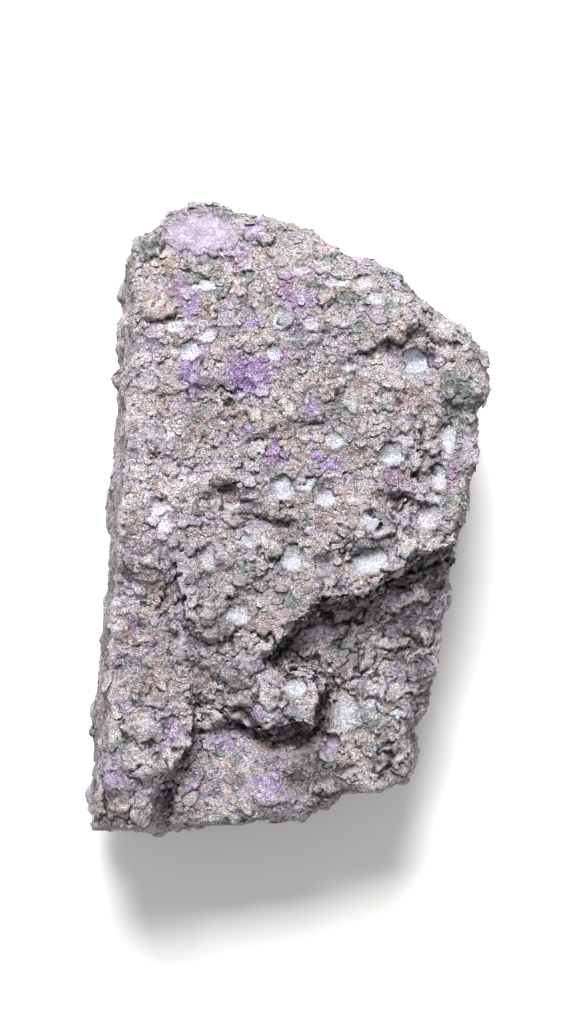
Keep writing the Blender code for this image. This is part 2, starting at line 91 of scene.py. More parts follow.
# bowl-shaped pits: middle, half width, half height, depth in mm, how white and how lilac the floor is
pits = [
    (190, 349, 11, 10, 0.7, 1.0, 0.1), (207, 335, 8, 7, 0.5, 0.9, 0.2), (205, 284, 16, 6, 0.6, 0.9, 0.2),
    (176, 324, 9, 10, 0.6, 0.7, 0.0), (280, 318, 6, 9, 0.6, 0.9, 0.2), (336, 280, 12, 6, 0.4, 0.9, 0.0),
    (365, 282, 9, 6, 0.4, 0.6, 0.0), (375, 296, 8, 6, 0.5, 0.8, 0.4), (310, 322, 8, 7, 0.5, 0.7, 0.1),
    (273, 352, 8, 9, 0.6, 0.8, 0.4), (350, 365, 9, 7, 0.5, 0.6, 0.0), (355, 350, 7, 5, 0.5, 0.3, 0.7),
    (416, 360, 15, 13, 1.0, 1.0, 0.1), (448, 434, 8, 15, 0.8, 0.9, 0.1), (439, 477, 8, 12, 1.0, 0.9, 0.2),
    (434, 497, 9, 7, 0.6, 0.8, 0.0), (429, 515, 12, 15, 0.8, 0.6, 0.1), (448, 550, 8, 11, 0.7, 0.5, 0.1),
    (334, 440, 10, 9, 0.6, 1.0, 0.1), (391, 452, 12, 12, 0.8, 1.0, 0.1), (306, 478, 9, 12, 0.7, 1.0, 0.1),
    (284, 487, 10, 14, 0.8, 1.0, 0.2), (327, 497, 10, 9, 0.7, 1.0, 0.2), (370, 519, 9, 9, 0.6, 1.0, 0.3),
    (372, 560, 19, 13, 1.1, 0.8, 0.5), (325, 564, 11, 12, 1.1, 0.6, 0.2), (293, 556, 10, 15, 0.7, 0.9, 0.3),
    (286, 598, 7, 9, 0.5, 0.3, 0.0), (345, 544, 7, 5, 0.5, 0.5, 0.4), (162, 508, 12, 11, 0.6, 0.8, 0.3),
    (165, 523, 7, 9, 0.5, 0.7, 0.3), (209, 558, 8, 15, 0.7, 0.8, 0.2), (178, 550, 7, 8, 0.5, 0.4, 0.3),
    (232, 504, 10, 5, 0.5, 0.6, 0.5), (248, 541, 8, 7, 0.4, 0.6, 0.1), (258, 597, 7, 6, 0.4, 0.5, 0.2),
    (239, 613, 13, 9, 0.6, 0.7, 0.3), (295, 687, 12, 8, 0.7, 0.8, 0.1), (203, 371, 6, 5, 0.8, 0.2, 0.6),
    (405, 501, 11, 10, 1.1, 0.1, 0.1), (402, 595, 17, 9, 0.7, 0.3, 0.7), (343, 712, 18, 21, 1.9, 0.5, 0.0),
    (232, 491, 9, 5, 0.4, 0.0, 0.2), (262, 524, 26, 6, 0.7, 0.1, 0.1), (158, 756, 6, 6, 1.0, 0.0, 0.1),
    (222, 742, 14, 12, 0.5, 0.2, 0.4), (337, 536, 8, 4, 0.7, 0.1, 0.0), (212, 262, 26, 10, 0.4, 0.0, 0.0),
    (373, 706, 11, 7, 0.5, 0.6, 0.3), (398, 717, 9, 7, 0.6, 0.9, 0.1), (404, 688, 11, 8, 0.7, 0.3, 0.0),
    (334, 752, 14, 12, 0.8, 0.1, 0.7), (248, 429, 6, 6, 0.4, 0.1, 0.9), (278, 448, 7, 7, 0.5, 0.1, 0.8),
    (281, 463, 6, 6, 0.5, 0.2, 0.9), (317, 452, 6, 5, 0.4, 0.1, 0.9), (328, 465, 12, 7, 0.4, 0.1, 0.6),
    (173, 725, 8, 10, 0.7, 0.0, 0.7), (163, 622, 8, 6, 0.7, 0.0, 0.7), (137, 630, 10, 6, 0.5, 0.1, 0.6),
    (228, 735, 6, 5, 0.3, 0.0, 0.9), (313, 409, 8, 7, 0.4, 0.2, 0.8), (350, 301, 14, 12, 0.5, 0.1, 0.1),
    (236, 432, 5, 4, 0.3, 0.5, 0.1), (302, 432, 9, 6, 0.3, 0.4, 0.0), (243, 540, 9, 7, 0.4, 0.6, 0.0),
    (350, 405, 8, 7, 0.3, 0.6, 0.1), (319, 388, 7, 6, 0.3, 0.3, 0.0), (300, 268, 10, 7, 0.3, 0.5, 0.0),
    (415, 622, 7, 9, 1.0, 0.0, 0.3), (226, 646, 9, 5, 0.9, 0.0, 0.2), (150, 749, 5, 4, 0.5, 0.0, 0.9),
    (401, 728, 5, 4, 0.8, 0.0, 0.2), (385, 749, 9, 5, 0.8, 0.0, 0.1), (308, 372, 8, 6, 0.3, 0.3, 0.3),
    (272, 372, 6, 5, 0.3, 0.0, 0.4), (338, 318, 9, 7, 0.3, 0.4, 0.1), (424, 410, 9, 8, 0.5, 0.3, 0.0),
    (364, 470, 8, 6, 0.4, 0.4, 0.1), (352, 497, 9, 6, 0.4, 0.5, 0.0), (258, 473, 7, 6, 0.3, 0.3, 0.3),
    (196, 470, 9, 7, 0.4, 0.2, 0.1), (180, 452, 10, 8, 0.3, 0.2, 0.0), (144, 470, 8, 9, 0.3, 0.3, 0.1),
    (232, 575, 9, 7, 0.4, 0.4, 0.2), (196, 610, 8, 7, 0.4, 0.3, 0.3), (138, 560, 9, 10, 0.4, 0.2, 0.2),
]

# lumps and pebbles: middle, half width, half height, height in mm
lumps = [
    (385, 533, 12, 6, 0.7), (347, 557, 6, 6, 0.5), (408, 546, 11, 14, 0.5), (431, 447, 8, 9, 0.6),
    (382, 507, 12, 12, 0.4), (389, 516, 5, 5, 0.4), (326, 296, 9, 9, 0.5), (328, 390, 9, 9, 0.4),
    (383, 403, 13, 9, 0.4), (258, 449, 9, 9, 0.5), (215, 399, 16, 6, 0.4), (237, 396, 12, 6, 0.4),
    (252, 413, 10, 7, 0.4), (287, 408, 9, 9, 0.4), (351, 406, 8, 7, 0.3), (271, 546, 12, 12, 0.5),
    (205, 490, 8, 7, 0.4), (280, 635, 8, 8, 0.5), (190, 655, 5, 5, 0.5), (172, 627, 4, 4, 0.4),
    (183, 690, 4, 4, 0.4), (218, 690, 6, 5, 0.4), (184, 670, 5, 5, 0.4), (332, 735, 7, 5, 0.5),
    (343, 769, 6, 5, 0.5), (381, 771, 6, 5, 0.5), (402, 768, 11, 12, 0.7), (145, 727, 20, 14, 0.8),
    (95, 790, 9, 32, 0.7), (159, 310, 19, 12, 0.4), (442, 354, 12, 13, 0.5), (403, 752, 9, 7, 0.4),
    (322, 793, 16, 9, 0.6), (300, 700, 22, 18, 0.4), (236, 676, 20, 14, 0.4), (150, 700, 16, 8, 0.5),
    (360, 590, 12, 8, 0.5), (330, 588, 10, 12, 0.6), (398, 645, 20, 8, 0.5), (350, 665, 15, 18, 0.5),
    (400, 700, 22, 22, 0.5), (246, 640, 16, 10, 0.5), (302, 645, 14, 12, 0.4), (264, 725, 20, 10, 0.6),
    (120, 790, 16, 22, 0.5), (146, 770, 14, 12, 0.5), (146, 242, 13, 14, 0.5), (260, 232, 14, 10, 0.5),
    (237, 285, 10, 12, 0.3), (200, 232, 38, 20, 0.3), (330, 250, 10, 8, 0.3), (396, 332, 13, 10, 0.5),
    (405, 502, 6, 6, 0.8), (377, 692, 13, 11, 0.6), (142, 603, 5, 4, 0.4), (141, 613, 6, 5, 0.4),
    (170, 629, 5, 5, 0.5), (181, 638, 10, 6, 0.3), (163, 712, 8, 5, 0.4), (154, 681, 13, 11, 0.4),
    (330, 736, 9, 5, 0.6), (384, 771, 6, 5, 0.5), (375, 778, 5, 4, 0.4), (400, 765, 12, 7, 0.4),
    (328, 603, 11, 10, 0.5), (352, 640, 9, 13, 0.6), (372, 628, 9, 8, 0.5), (366, 656, 8, 15, 0.5),
    (398, 632, 12, 8, 0.6), (430, 640, 9, 10, 0.5), (310, 655, 10, 8, 0.5), (240, 700, 18, 10, 0.4),
    (212, 664, 12, 9, 0.4), (251, 664, 14, 9, 0.5), (286, 662, 12, 9, 0.4), (270, 700, 14, 10, 0.5),
    (146, 640, 10, 7, 0.4), (125, 700, 14, 9, 0.4), (108, 740, 9, 12, 0.5), (176, 762, 10, 12, 0.6),
    (184, 742, 10, 9, 0.5), (118, 812, 12, 10, 0.4), (140, 820, 12, 7, 0.4), (430, 700, 10, 10, 0.5),
    (421, 738, 9, 8, 0.5), (360, 744, 6, 8, 0.3), (350, 778, 10, 6, 0.4), (300, 800, 12, 7, 0.3),
    (270, 805, 14, 7, 0.3), (240, 812, 12, 7, 0.3), (190, 520, 12, 8, 0.4), (232, 520, 12, 7, 0.4),
    (190, 548, 9, 10, 0.4), (150, 560, 10, 9, 0.4), (246, 496, 9, 6, 0.4), (214, 505, 10, 6, 0.4),
    (172, 470, 9, 6, 0.3), (220, 455, 10, 8, 0.3), (200, 430, 9, 7, 0.3), (230, 412, 8, 6, 0.3),
    (300, 455, 8, 7, 0.3), (362, 424, 10, 6, 0.3), (402, 425, 9, 7, 0.3), (414, 385, 10, 8, 0.3),
    (340, 385, 8, 7, 0.3), (300, 385, 9, 7, 0.3), (368, 345, 9, 7, 0.3), (310, 340, 9, 7, 0.3),
    (300, 355, 8, 6, 0.3), (262, 300, 9, 8, 0.3), (212, 305, 8, 8, 0.3), (350, 270, 9, 7, 0.3),
]

# ledges and cracks, along lines that have the higher side on their right: height in mm, reach of the
# high side in mm, depth of the crack under it in mm
ledges = [
    ([(455, 562), (425, 568), (398, 579), (375, 596), (362, 602)], 0.5, 2.2, 0.9),
    ([(350, 592), (340, 596), (325, 602), (318, 616), (303, 632), (290, 645), (280, 656)], 0.5, 2.2, 0.9),
    ([(280, 656), (275, 639), (241, 628), (225, 640), (211, 645), (195, 635)], 0.5, 1.6, 0.5),
    ([(195, 635), (185, 610), (180, 590), (175, 565)], 0.5, 1.6, 0.6),
    ([(328, 690), (324, 715), (318, 736), (300, 741), (270, 747), (245, 731), (222, 722)], 0.5, 1.8, 0.8),
    ([(262, 738), (240, 727), (222, 716), (205, 702), (190, 694)], 0.3, 0.8, 0.3),
    ([(243, 268), (240, 258), (222, 250), (203, 246), (185, 250)], 0.2, 1.6, 0.1),
    ([(185, 305), (178, 315), (172, 321), (150, 325), (140, 330)], 0.1, 1.2, 0.15),
    ([(418, 325), (413, 336), (400, 344), (385, 346), (368, 350), (352, 356)], 0.25, 1.4, 0.35),
    ([(462, 347), (445, 342), (430, 335)], 0.2, 1.0, 0.3),
    ([(240, 385), (228, 389), (215, 392)], 0.2, 0.8, 0.4),
    ([(210, 400), (190, 396), (165, 395)], 0.2, 0.8, 0.4),
    ([(207, 312), (210, 304), (222, 300), (226, 292), (228, 280)], 0.1, 0.6, 0.4),
    ([(236, 420), (228, 435)], 0.1, 0.5, 0.4),
    ([(345, 470), (325, 472), (300, 482)], 0.3, 1.0, 0.4),
    ([(258, 485), (240, 482), (220, 486)], 0.3, 1.0, 0.7),
    ([(292, 523), (275, 520), (255, 514), (235, 515)], 0.4, 1.4, 0.6),
    ([(280, 560), (260, 578), (242, 588), (225, 600)], 0.3, 1.2, 0.5),
    ([(180, 572), (168, 586), (156, 604)], 0.3, 1.0, 0.6),
    ([(345, 534), (337, 537), (329, 541)], 0.3, 0.8, 0.5),
    ([(257, 700), (258, 686)], 0.2, 0.6, 0.6),
    ([(422, 432), (418, 455), (417, 480)], 0.4, 0.8, 0.6),
    ([(458, 524), (448, 534), (440, 543)], 0.4, 0.8, 0.5),
    ([(455, 566), (446, 582), (437, 600)], 0.4, 0.8, 0.5),
    ([(440, 646), (412, 650), (383, 652)], 0.4, 1.2, 0.6),
    ([(345, 684), (338, 688), (330, 690)], 0.3, 1.0, 0.5),
    ([(358, 742), (356, 752), (348, 759), (342, 757)], 0.2, 0.6, 0.4),
    ([(390, 746), (384, 752), (378, 754)], 0.3, 0.8, 0.6),
    ([(163, 740), (150, 744), (136, 744), (122, 738)], 0.4, 0.9, 0.5),
    ([(155, 768), (142, 765), (130, 768)], 0.3, 0.8, 0.5),
    ([(208, 765), (203, 780), (195, 795), (175, 808)], 0.1, 0.5, 0.3),
    ([(175, 780), (172, 800), (166, 822), (163, 838)], 0.4, 1.0, 1.0),
    ([(200, 708), (202, 726), (198, 748), (190, 768)], 0.5, 1.4, 0.6),
    ([(270, 826), (230, 828), (190, 832)], 0.2, 0.8, 0.4),
    ([(398, 577), (391, 570), (380, 572)], 0.3, 0.8, 0.4),
    ([(320, 742), (321, 770), (318, 800)], 0.2, 0.6, 0.4),
    ([(200, 600), (192, 628), (186, 640)], 0.3, 0.7, 0.3),
    ([(300, 660), (318, 662), (330, 670)], 0.3, 0.9, 0.4),
    ([(362, 620), (345, 632), (334, 646)], 0.4, 1.2, 0.6),
    ([(420, 605), (398, 612), (376, 622)], 0.5, 1.2, 0.6),
    ([(435, 690), (420, 698), (404, 700)], 0.3, 1.0, 0.5),
    ([(130, 470), (126, 520), (122, 560)], 0.1, 0.8, 0.2),
    ([(292, 435), (270, 440), (250, 438)], 0.2, 0.8, 0.3),
    ([(410, 430), (390, 436), (368, 436)], 0.2, 0.8, 0.3),
    ([(420, 300), (402, 292), (388, 280)], 0.2, 0.8, 0.3),
    ([(168, 430), (158, 446), (150, 462)], 0.1, 0.6, 0.3),
    ([(368, 673), (352, 682), (338, 684), (330, 694), (328, 710)], 0.3, 0.9, 0.35),
    ([(366, 748), (362, 760), (352, 768), (338, 770)], 0.3, 0.6, 0.3),
    ([(330, 616), (320, 606), (316, 594)], 0.3, 0.8, 0.6),
    ([(372, 604), (366, 618), (352, 624), (340, 618)], 0.3, 0.9, 0.6),
    ([(392, 660), (380, 676), (368, 686)], 0.2, 0.8, 0.4),
    ([(352, 652), (344, 668), (338, 682)], 0.2, 0.6, 0.4),
    ([(372, 640), (362, 656), (356, 672)], 0.2, 0.6, 0.5),
    ([(418, 660), (428, 668), (440, 664)], 0.3, 0.8, 0.4),
    ([(412, 712), (420, 722), (430, 728)], 0.2, 0.8, 0.4),
    ([(399, 752), (388, 758), (376, 756)], 0.3, 0.7, 0.5),
    ([(246, 648), (232, 655), (216, 652)], 0.3, 0.8, 0.6),
    ([(200, 660), (190, 668), (178, 664)], 0.2, 0.6, 0.3),
    ([(150, 640), (136, 646), (122, 640)], 0.2, 0.8, 0.4),
    ([(180, 600), (172, 612), (160, 618)], 0.3, 0.7, 0.6),
    ([(120, 690), (140, 696), (160, 692)], -0.2, 0.8, 0.3),
    ([(300, 500), (290, 508), (274, 506)], 0.2, 0.8, 0.4),
    ([(356, 545), (346, 550), (336, 548)], 0.3, 0.8, 0.5),
    ([(400, 520), (392, 526), (376, 526)], 0.2, 0.6, 0.5),
    ([(412, 500), (404, 512), (394, 506)], 0.2, 0.4, 0.5),
    ([(222, 612), (214, 622), (202, 624)], 0.2, 0.8, 0.4),
    ([(170, 358), (158, 366), (146, 362)], 0.2, 0.8, 0.3),
    ([(320, 420), (306, 424), (294, 420)], 0.2, 0.8, 0.3),
    ([(404, 458), (396, 466), (380, 466)], 0.2, 0.8, 0.3),
    ([(262, 466), (252, 472), (240, 468)], 0.2, 0.6, 0.3),
    ([(232, 440), (220, 446), (206, 444)], 0.2, 0.6, 0.3),
    ([(345, 330), (332, 336), (318, 332)], 0.2, 0.6, 0.3),
    ([(300, 320), (290, 328), (280, 330)], 0.2, 0.6, 0.3),
    ([(265, 345), (256, 352), (244, 350)], 0.2, 0.6, 0.3),
]

# places where the scales lie flatter: middle, half width, half height, how much
calmPlaces = [
    (200, 230, 46, 30, 1.0), (257, 778, 60, 46, 0.6), (343, 712, 26, 24, 0.6), (425, 520, 18, 20, 0.5),
    (372, 562, 26, 18, 0.6), (156, 345, 34, 20, 0.4), (116, 520, 12, 160, 0.5), (131, 435, 16, 30, 0.5),
    (230, 300, 110, 60, 0.25), (310, 410, 120, 90, 0.25), (215, 560, 60, 50, 0.2),
]

# places where the rock crumbles into splinters: middle, half width, half height, how much rougher and
# darker with painted shade, and the way the splinters run, in degrees
crumblyPlaces = [
    (400, 590, 62, 22, 0.6, 35), (345, 618, 36, 30, 0.8, 60), (300, 640, 26, 22, 0.6, 50),
    (440, 600, 18, 44, 0.7, 65), (400, 655, 46, 30, 0.5, 55), (274, 744, 58, 12, 0.4, -25),
    (326, 712, 10, 34, 0.4, 85), (164, 812, 12, 30, 0.7, 80), (168, 600, 16, 30, 0.5, 60),
    (412, 740, 40, 26, 0.5, 35), (220, 820, 90, 12, 0.3, 5), (300, 680, 26, 24, 0.4, -30),
    (240, 655, 40, 12, 0.4, 20), (112, 740, 16, 60, 0.2, 70), (395, 500, 20, 14, 0.15, 30),
]
splinters = dict(
    size=(2.0, 0.72),  # mm, length and width
    rise=0.46,  # mm, how unequally high they are
    lean=0.42,  # mm
    gap=(0.24, 0.13),  # depth of the gaps in mm, width over that of a splinter
    edge=(1.35, -0.5),  # where they have died out, over a place's half width, and how softly
    seedStep=7.0,
)

# where the face steps down: lines along the edges, and how the rock beside them is made steep
steps = dict(
    near=(1.9, -0.7),  # mm, how far from the line the rock is shifted, and how softly
    above=9.0,  # mm, the rock below stays
    turns=16,
    smoothing=3,
    push=0.4,
    still=0.02,  # mm, the middle of a step that stays put
)
cliffs = [
    [(199, 697), (222, 715), (241, 725), (261, 735), (284, 740), (298, 733), (313, 729)],
    [(451, 553), (435, 562), (416, 563), (400, 577), (381, 587), (372, 598), (348, 603), (322, 600),
     (321, 614), (301, 623), (294, 633), (282, 638), (276, 653), (291, 666), (312, 669), (325, 679),
     (326, 696), (321, 714), (318, 733)],
    [(199, 697), (202, 718), (200, 749), (190, 773), (173, 794)],
]

# broad swells: middle, half width, half height, height in mm
swells = [(120, 790, 34, 34, 0.5), (250, 790, 60, 30, 0.4)]

# low places that are filled up: middle, half width, half height, the height that they reach in mm
fills = [
    (212, 716, 34, 24, 19.6), (262, 756, 44, 18, 18.0), (186, 796, 18, 34, 19.0), (204, 750, 14, 26, 18.6),
    (318, 640, 22, 22, 17.6), (160, 330, 30, 14, 21.9), (205, 262, 34, 14, 20.6),
]

# paler and darker stretches, partly the rock's own tone and partly painted light and painted shade, paler
# where the rock lies in shade, as under the nose and in the lower left corner, and darker under the ledge:
# middle, half width, half height, how much paler, or darker below nought
toneAndLightPlaces = [
    (196, 228, 44, 26, -0.36), (212, 262, 26, 12, 0.15), (146, 243, 14, 14, -0.5), (291, 243, 32, 19, -0.15),
    (284, 487, 12, 14, -0.15), (178, 289, 12, 14, -0.2), (248, 428, 8, 8, -0.25), (276, 454, 10, 13, -0.15),
    (191, 372, 11, 18, -0.2), (289, 283, 14, 14, -0.15), (172, 428, 10, 12, 0.5), (190, 349, 12, 10, 0.25),
    (391, 452, 12, 10, 0.2), (457, 395, 16, 24, 0.12), (165, 342, 34, 22, 0.25), (170, 390, 26, 18, -0.12),
    (140, 440, 26, 30, 0.15), (250, 440, 30, 18, 0.15), (165, 490, 34, 26, 0.18), (216, 480, 24, 18, 0.2),
    (220, 535, 26, 18, 0.12), (368, 540, 26, 20, -0.2), (420, 530, 26, 24, 0.2), (220, 585, 28, 26, -0.25),
    (268, 590, 28, 26, -0.25), (220, 640, 30, 22, -0.22), (265, 640, 22, 22, 0.25), (170, 640, 24, 24, -0.12),
    (420, 640, 30, 34, -0.6), (425, 690, 20, 30, -0.45), (412, 600, 30, 14, -0.15), (345, 640, 22, 14, -0.2),
    (390, 700, 24, 24, 0.15), (340, 712, 18, 20, 0.25), (345, 755, 22, 10, 0.2), (372, 765, 12, 12, -0.25),
    (320, 690, 22, 22, 0.15), (160, 690, 34, 24, -0.18), (170, 735, 26, 22, 0.25), (262, 728, 34, 18, 0.3),
    (165, 785, 26, 26, 0.5), (222, 780, 34, 34, 0.25), (318, 785, 28, 32, -0.7), (268, 800, 22, 20, 0.15),
    (120, 720, 20, 30, 0.1), (370, 715, 26, 26, 0.15), (400, 760, 30, 16, -0.2),
]

# the knob on the left side, in mm
knob = dict(
    middle=(-18.0, 16.1, 15.0),
    radius=1.4,
    out=1.25,  # how far it stands out
    clear=1.7,  # how far round it the wall is evened first, in radii
    depth=0.35,  # points further in than this stay
)

patchEdge = 1.35  # where a patch has died out, over its half width

# colour patches on the face, the dark ones mostly painted shade: middle, half width, half height, strength
pigments = dict(
    violet=[
        (191, 303, 12, 15, 0.7), (252, 323, 11, 10, 0.7), (300, 300, 15, 11, 1.0), (253, 228, 10, 14, 0.7),
        (191, 372, 15, 30, 0.9), (248, 375, 26, 24, 1.3), (251, 379, 12, 20, 1.5), (285, 357, 11, 14, 0.7),
        (311, 410, 10, 11, 0.8), (247, 428, 7, 7, 1.0), (275, 454, 11, 15, 1.0), (317, 454, 6, 6, 1.1),
        (332, 465, 14, 11, 0.8), (172, 733, 9, 19, 0.6), (189, 790, 8, 8, 0.9), (165, 797, 5, 5, 0.9),
        (270, 790, 17, 22, 0.6), (251, 716, 10, 13, 0.7), (305, 725, 6, 6, 0.7), (113, 777, 11, 20, 0.8),
        (132, 625, 13, 11, 0.5), (151, 680, 8, 6, 0.5), (228, 748, 14, 12, 0.5), (240, 258, 8, 12, 0.6),
        (205, 348, 12, 10, 0.5), (222, 352, 10, 8, 0.6), (401, 286, 3, 6, 1.2), (434, 359, 6, 6, 0.9),
        (305, 350, 10, 8, 0.4), (128, 778, 14, 10, 0.5),
    ],
    magenta=[
        (178, 288, 11, 13, 1.0), (286, 290, 13, 9, 1.2), (289, 276, 12, 7, 1.0), (309, 269, 7, 6, 0.7),
        (452, 476, 9, 15, 0.9), (113, 655, 5, 8, 1.0), (188, 370, 6, 9, 0.8), (306, 235, 4, 4, 0.9),
        (330, 243, 4, 4, 0.7), (343, 253, 4, 4, 0.7), (153, 239, 5, 5, 0.9), (396, 476, 16, 12, 0.5),
        (405, 405, 11, 10, 0.5), (337, 345, 9, 16, 0.4), (440, 396, 5, 6, 0.6), (232, 262, 6, 8, 0.5),
    ],
    lilac=[
        (198, 232, 36, 24, 1.5), (232, 246, 16, 10, 1.2), (402, 594, 19, 10, 1.0), (335, 748, 10, 8, 0.8),
        (329, 630, 10, 11, 0.8), (222, 742, 15, 14, 0.8), (165, 520, 26, 30, 0.5), (372, 562, 22, 14, 0.7),
        (346, 480, 14, 12, 0.5), (115, 640, 8, 30, 0.4), (250, 735, 30, 20, 0.4), (286, 727, 18, 10, 0.6),
        (404, 620, 20, 14, 0.5),
    ],
    cream=[
        (236, 222, 10, 11, 0.8), (235, 338, 16, 9, 0.9), (169, 345, 10, 11, 0.8), (291, 243, 32, 19, 0.9),
        (380, 367, 22, 14, 0.8), (210, 815, 17, 15, 0.8), (391, 294, 8, 5, 0.9), (177, 487, 26, 24, 0.8),
        (215, 399, 16, 7, 1.2), (237, 396, 12, 6, 1.2), (287, 408, 10, 9, 1.2), (351, 406, 9, 8, 0.8),
        (271, 546, 12, 13, 1.0), (252, 413, 10, 7, 1.2), (258, 449, 9, 9, 1.1), (383, 403, 14, 10, 1.1),
        (408, 546, 12, 15, 0.9), (347, 557, 7, 7, 1.0), (431, 447, 8, 9, 1.0), (190, 655, 5, 5, 1.2),
        (172, 627, 5, 5, 1.2), (183, 690, 5, 5, 1.1), (218, 690, 6, 5, 0.9), (184, 670, 5, 5, 1.0),
        (107, 677, 5, 6, 1.0), (360, 790, 26, 8, 0.6), (385, 533, 12, 6, 0.7), (250, 690, 40, 24, 0.4),
        (140, 500, 16, 40, 0.5), (443, 352, 11, 11, 1.0), (400, 300, 14, 10, 0.6), (145, 400, 18, 24, 0.5),
        (350, 500, 24, 12, 0.4), (208, 640, 18, 16, 0.4), (150, 730, 22, 18, 0.5), (262, 600, 30, 20, 0.4),
        (172, 428, 9, 11, 1.0), (236, 640, 16, 12, 0.5), (128, 690, 14, 14, 0.4),
    ],
    peach=[
        (237, 285, 10, 14, 0.9), (159, 310, 21, 13, 0.9), (397, 331, 13, 11, 1.8), (365, 580, 16, 8, 1.0),
        (177, 261, 10, 6, 0.8), (160, 296, 16, 8, 0.8), (326, 296, 9, 9, 0.6), (328, 390, 9, 9, 0.6),
        (270, 332, 10, 6, 0.5), (154, 681, 14, 12, 0.8), (395, 612, 20, 8, 0.6), (402, 770, 12, 12, 0.5),
        (300, 740, 14, 8, 0.4), (405, 548, 10, 10, 0.4),
    ],
    green=[
        (146, 243, 15, 15, 1.3), (330, 253, 9, 7, 1.0), (316, 284, 10, 6, 1.0), (355, 326, 11, 10, 0.9),
        (390, 307, 11, 9, 0.9), (192, 580, 9, 21, 0.7), (245, 568, 11, 8, 0.8), (457, 398, 19, 27, 1.1),
        (203, 259, 18, 9, 0.7), (286, 598, 9, 9, 0.9), (176, 326, 10, 12, 0.5), (420, 560, 9, 8, 0.7),
        (265, 300, 8, 10, 0.6), (240, 315, 9, 12, 0.5), (350, 424, 12, 8, 0.5), (300, 520, 10, 8, 0.5),
        (350, 301, 15, 12, 0.8), (447, 379, 12, 8, 1.0), (172, 428, 8, 10, 0.4), (208, 490, 10, 9, 0.8),
        (316, 410, 40, 8, 0.4), (420, 440, 8, 14, 0.5), (240, 610, 30, 8, 0.4), (350, 708, 12, 10, 0.5),
    ],
    # dark: mostly painted shade, laid into crevices, along the ledge's foot and under the nose
    dark=[
        (457, 398, 18, 26, 0.9), (203, 259, 18, 9, 0.25), (405, 501, 11, 10, 0.5), (234, 491, 14, 5, 0.55),
        (262, 524, 28, 6, 0.5), (325, 572, 12, 9, 0.7), (425, 458, 5, 20, 0.5), (432, 600, 18, 20, 0.7),
        (385, 614, 50, 20, 0.3), (340, 610, 26, 18, 0.3), (448, 570, 12, 14, 0.5), (166, 812, 6, 26, 1.0),
        (200, 704, 5, 8, 0.5), (284, 748, 24, 6, 0.6), (168, 590, 14, 18, 0.6), (148, 832, 60, 6, 0.3),
        (158, 756, 6, 6, 1.0), (326, 712, 5, 30, 0.7), (300, 640, 16, 18, 0.2), (383, 749, 6, 7, 0.8),
    ],
)


def ramp(value, start=0.0, soft=1.0):
    # rises smoothly from 0 at the start to 1 when the softness is past, or falls where that is negative
    t = np.clip((value - start) / soft, 0.0, 1.0)
    return t * t * (3.0 - 2.0 * t)


def pointsOf(mesh):
    flat = np.empty(len(mesh.vertices) * 3, np.float32)
    mesh.vertices.foreach_get("co", flat)
    return flat.reshape(-1, 3).astype(float) / mm


def normalsOf(mesh):
    flat = np.empty(len(mesh.vertices) * 3, np.float32)
    mesh.vertex_normals.foreach_get("vector", flat)
    return flat.reshape(-1, 3).astype(float)


def movePoints(mesh, points):
    mesh.vertices.foreach_set("co", (points * mm).astype(np.float32).ravel())
    mesh.update()


def settle(piece):
    # the piece gets the mesh that its modifiers make of it
    graph = bpy.context.evaluated_depsgraph_get()
    mesh = bpy.data.meshes.new_from_object(piece.evaluated_get(graph))
    piece.modifiers.clear()
    piece.data = mesh


def ripple(places, wavelength, seed, waves=14):
    # a smooth random field from about -1 to 1, with bumps about as wide as the wavelength
    chance = np.random.default_rng(seed)
    total = np.zeros(len(places))
    for wave in range(waves):
        way = chance.normal(size=places.shape[1])
        way *= chance.uniform(0.6, 1.5) * 2 * np.pi / wavelength / np.linalg.norm(way)
        total += np.cos(places @ way + chance.uniform(0, 2 * np.pi))
    return total / np.sqrt(waves)


def ragged(xy, reach=1.0):
    # places on the face, shifted to and fro so that what is drawn with them gets a torn outline
    shift = np.zeros_like(xy)
    for axis in (0, 1):
        for far, wavelength, seed in stone["torn"]:
            shift[:, axis] += far * ripple(xy, wavelength, seed + axis)
    return xy + reach * shift


def lowerHalf(points):
    # 0 on the upper half of the face and 1 on the lower one
    return ramp(points[:, 1], *stone["lowerHalf"])


def weakerBelow(points):
    return 1.0 - stone["calmBelow"] * lowerHalf(points)


def oval(xy, px, py, halfWidth, halfHeight):
    # 0 in the middle of an oval on the face and 1 on its edge, and how far up in it a point is
    x, y = onFace(px, py)
    across = (xy[:, 0] - x) / (halfWidth * pixel)
    up = (xy[:, 1] - y) / (halfHeight * pixel)
    return np.hypot(across, up), up


def roundedCopy():
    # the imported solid, merged, with its facets rounded, on an even grid
    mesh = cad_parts[stone["node"]].data.copy()
    form = bmesh.new()
    form.from_mesh(mesh)
    bmesh.ops.remove_doubles(form, verts=form.verts, dist=1e-6)
    form.to_mesh(mesh)
    form.free()
    mesh.materials.clear()
    piece = bpy.data.objects.new("sugilite_skin", mesh)
    bpy.context.scene.collection.objects.link(piece)
    soften = piece.modifiers.new("soften", "SUBSURF")
    soften.levels = soften.render_levels = stone["roundLevels"]
    settle(piece)
    shapeKnob(piece)
    even = piece.modifiers.new("even", "REMESH")
    even.mode = "VOXEL"
    even.voxel_size = stone["grid"] * mm
    settle(piece)
    return piece


def neighbours(mesh):
    # the two ends of every edge, and how many edges each point has
    pairs = np.empty(len(mesh.edges) * 2, np.int32)
    mesh.edges.foreach_get("vertices", pairs)
    a, b = pairs.reshape(-1, 2).T
    size = len(mesh.vertices)
    return a, b, np.bincount(a, minlength=size) + np.bincount(b, minlength=size)


def sumAround(a, b, values):
    # the sum of what each point's neighbours have, for one column of values or several
    if values.ndim > 1:
        return np.stack([sumAround(a, b, column) for column in values.T], axis=1)
    return np.bincount(a, values[b], len(values)) + np.bincount(b, values[a], len(values))


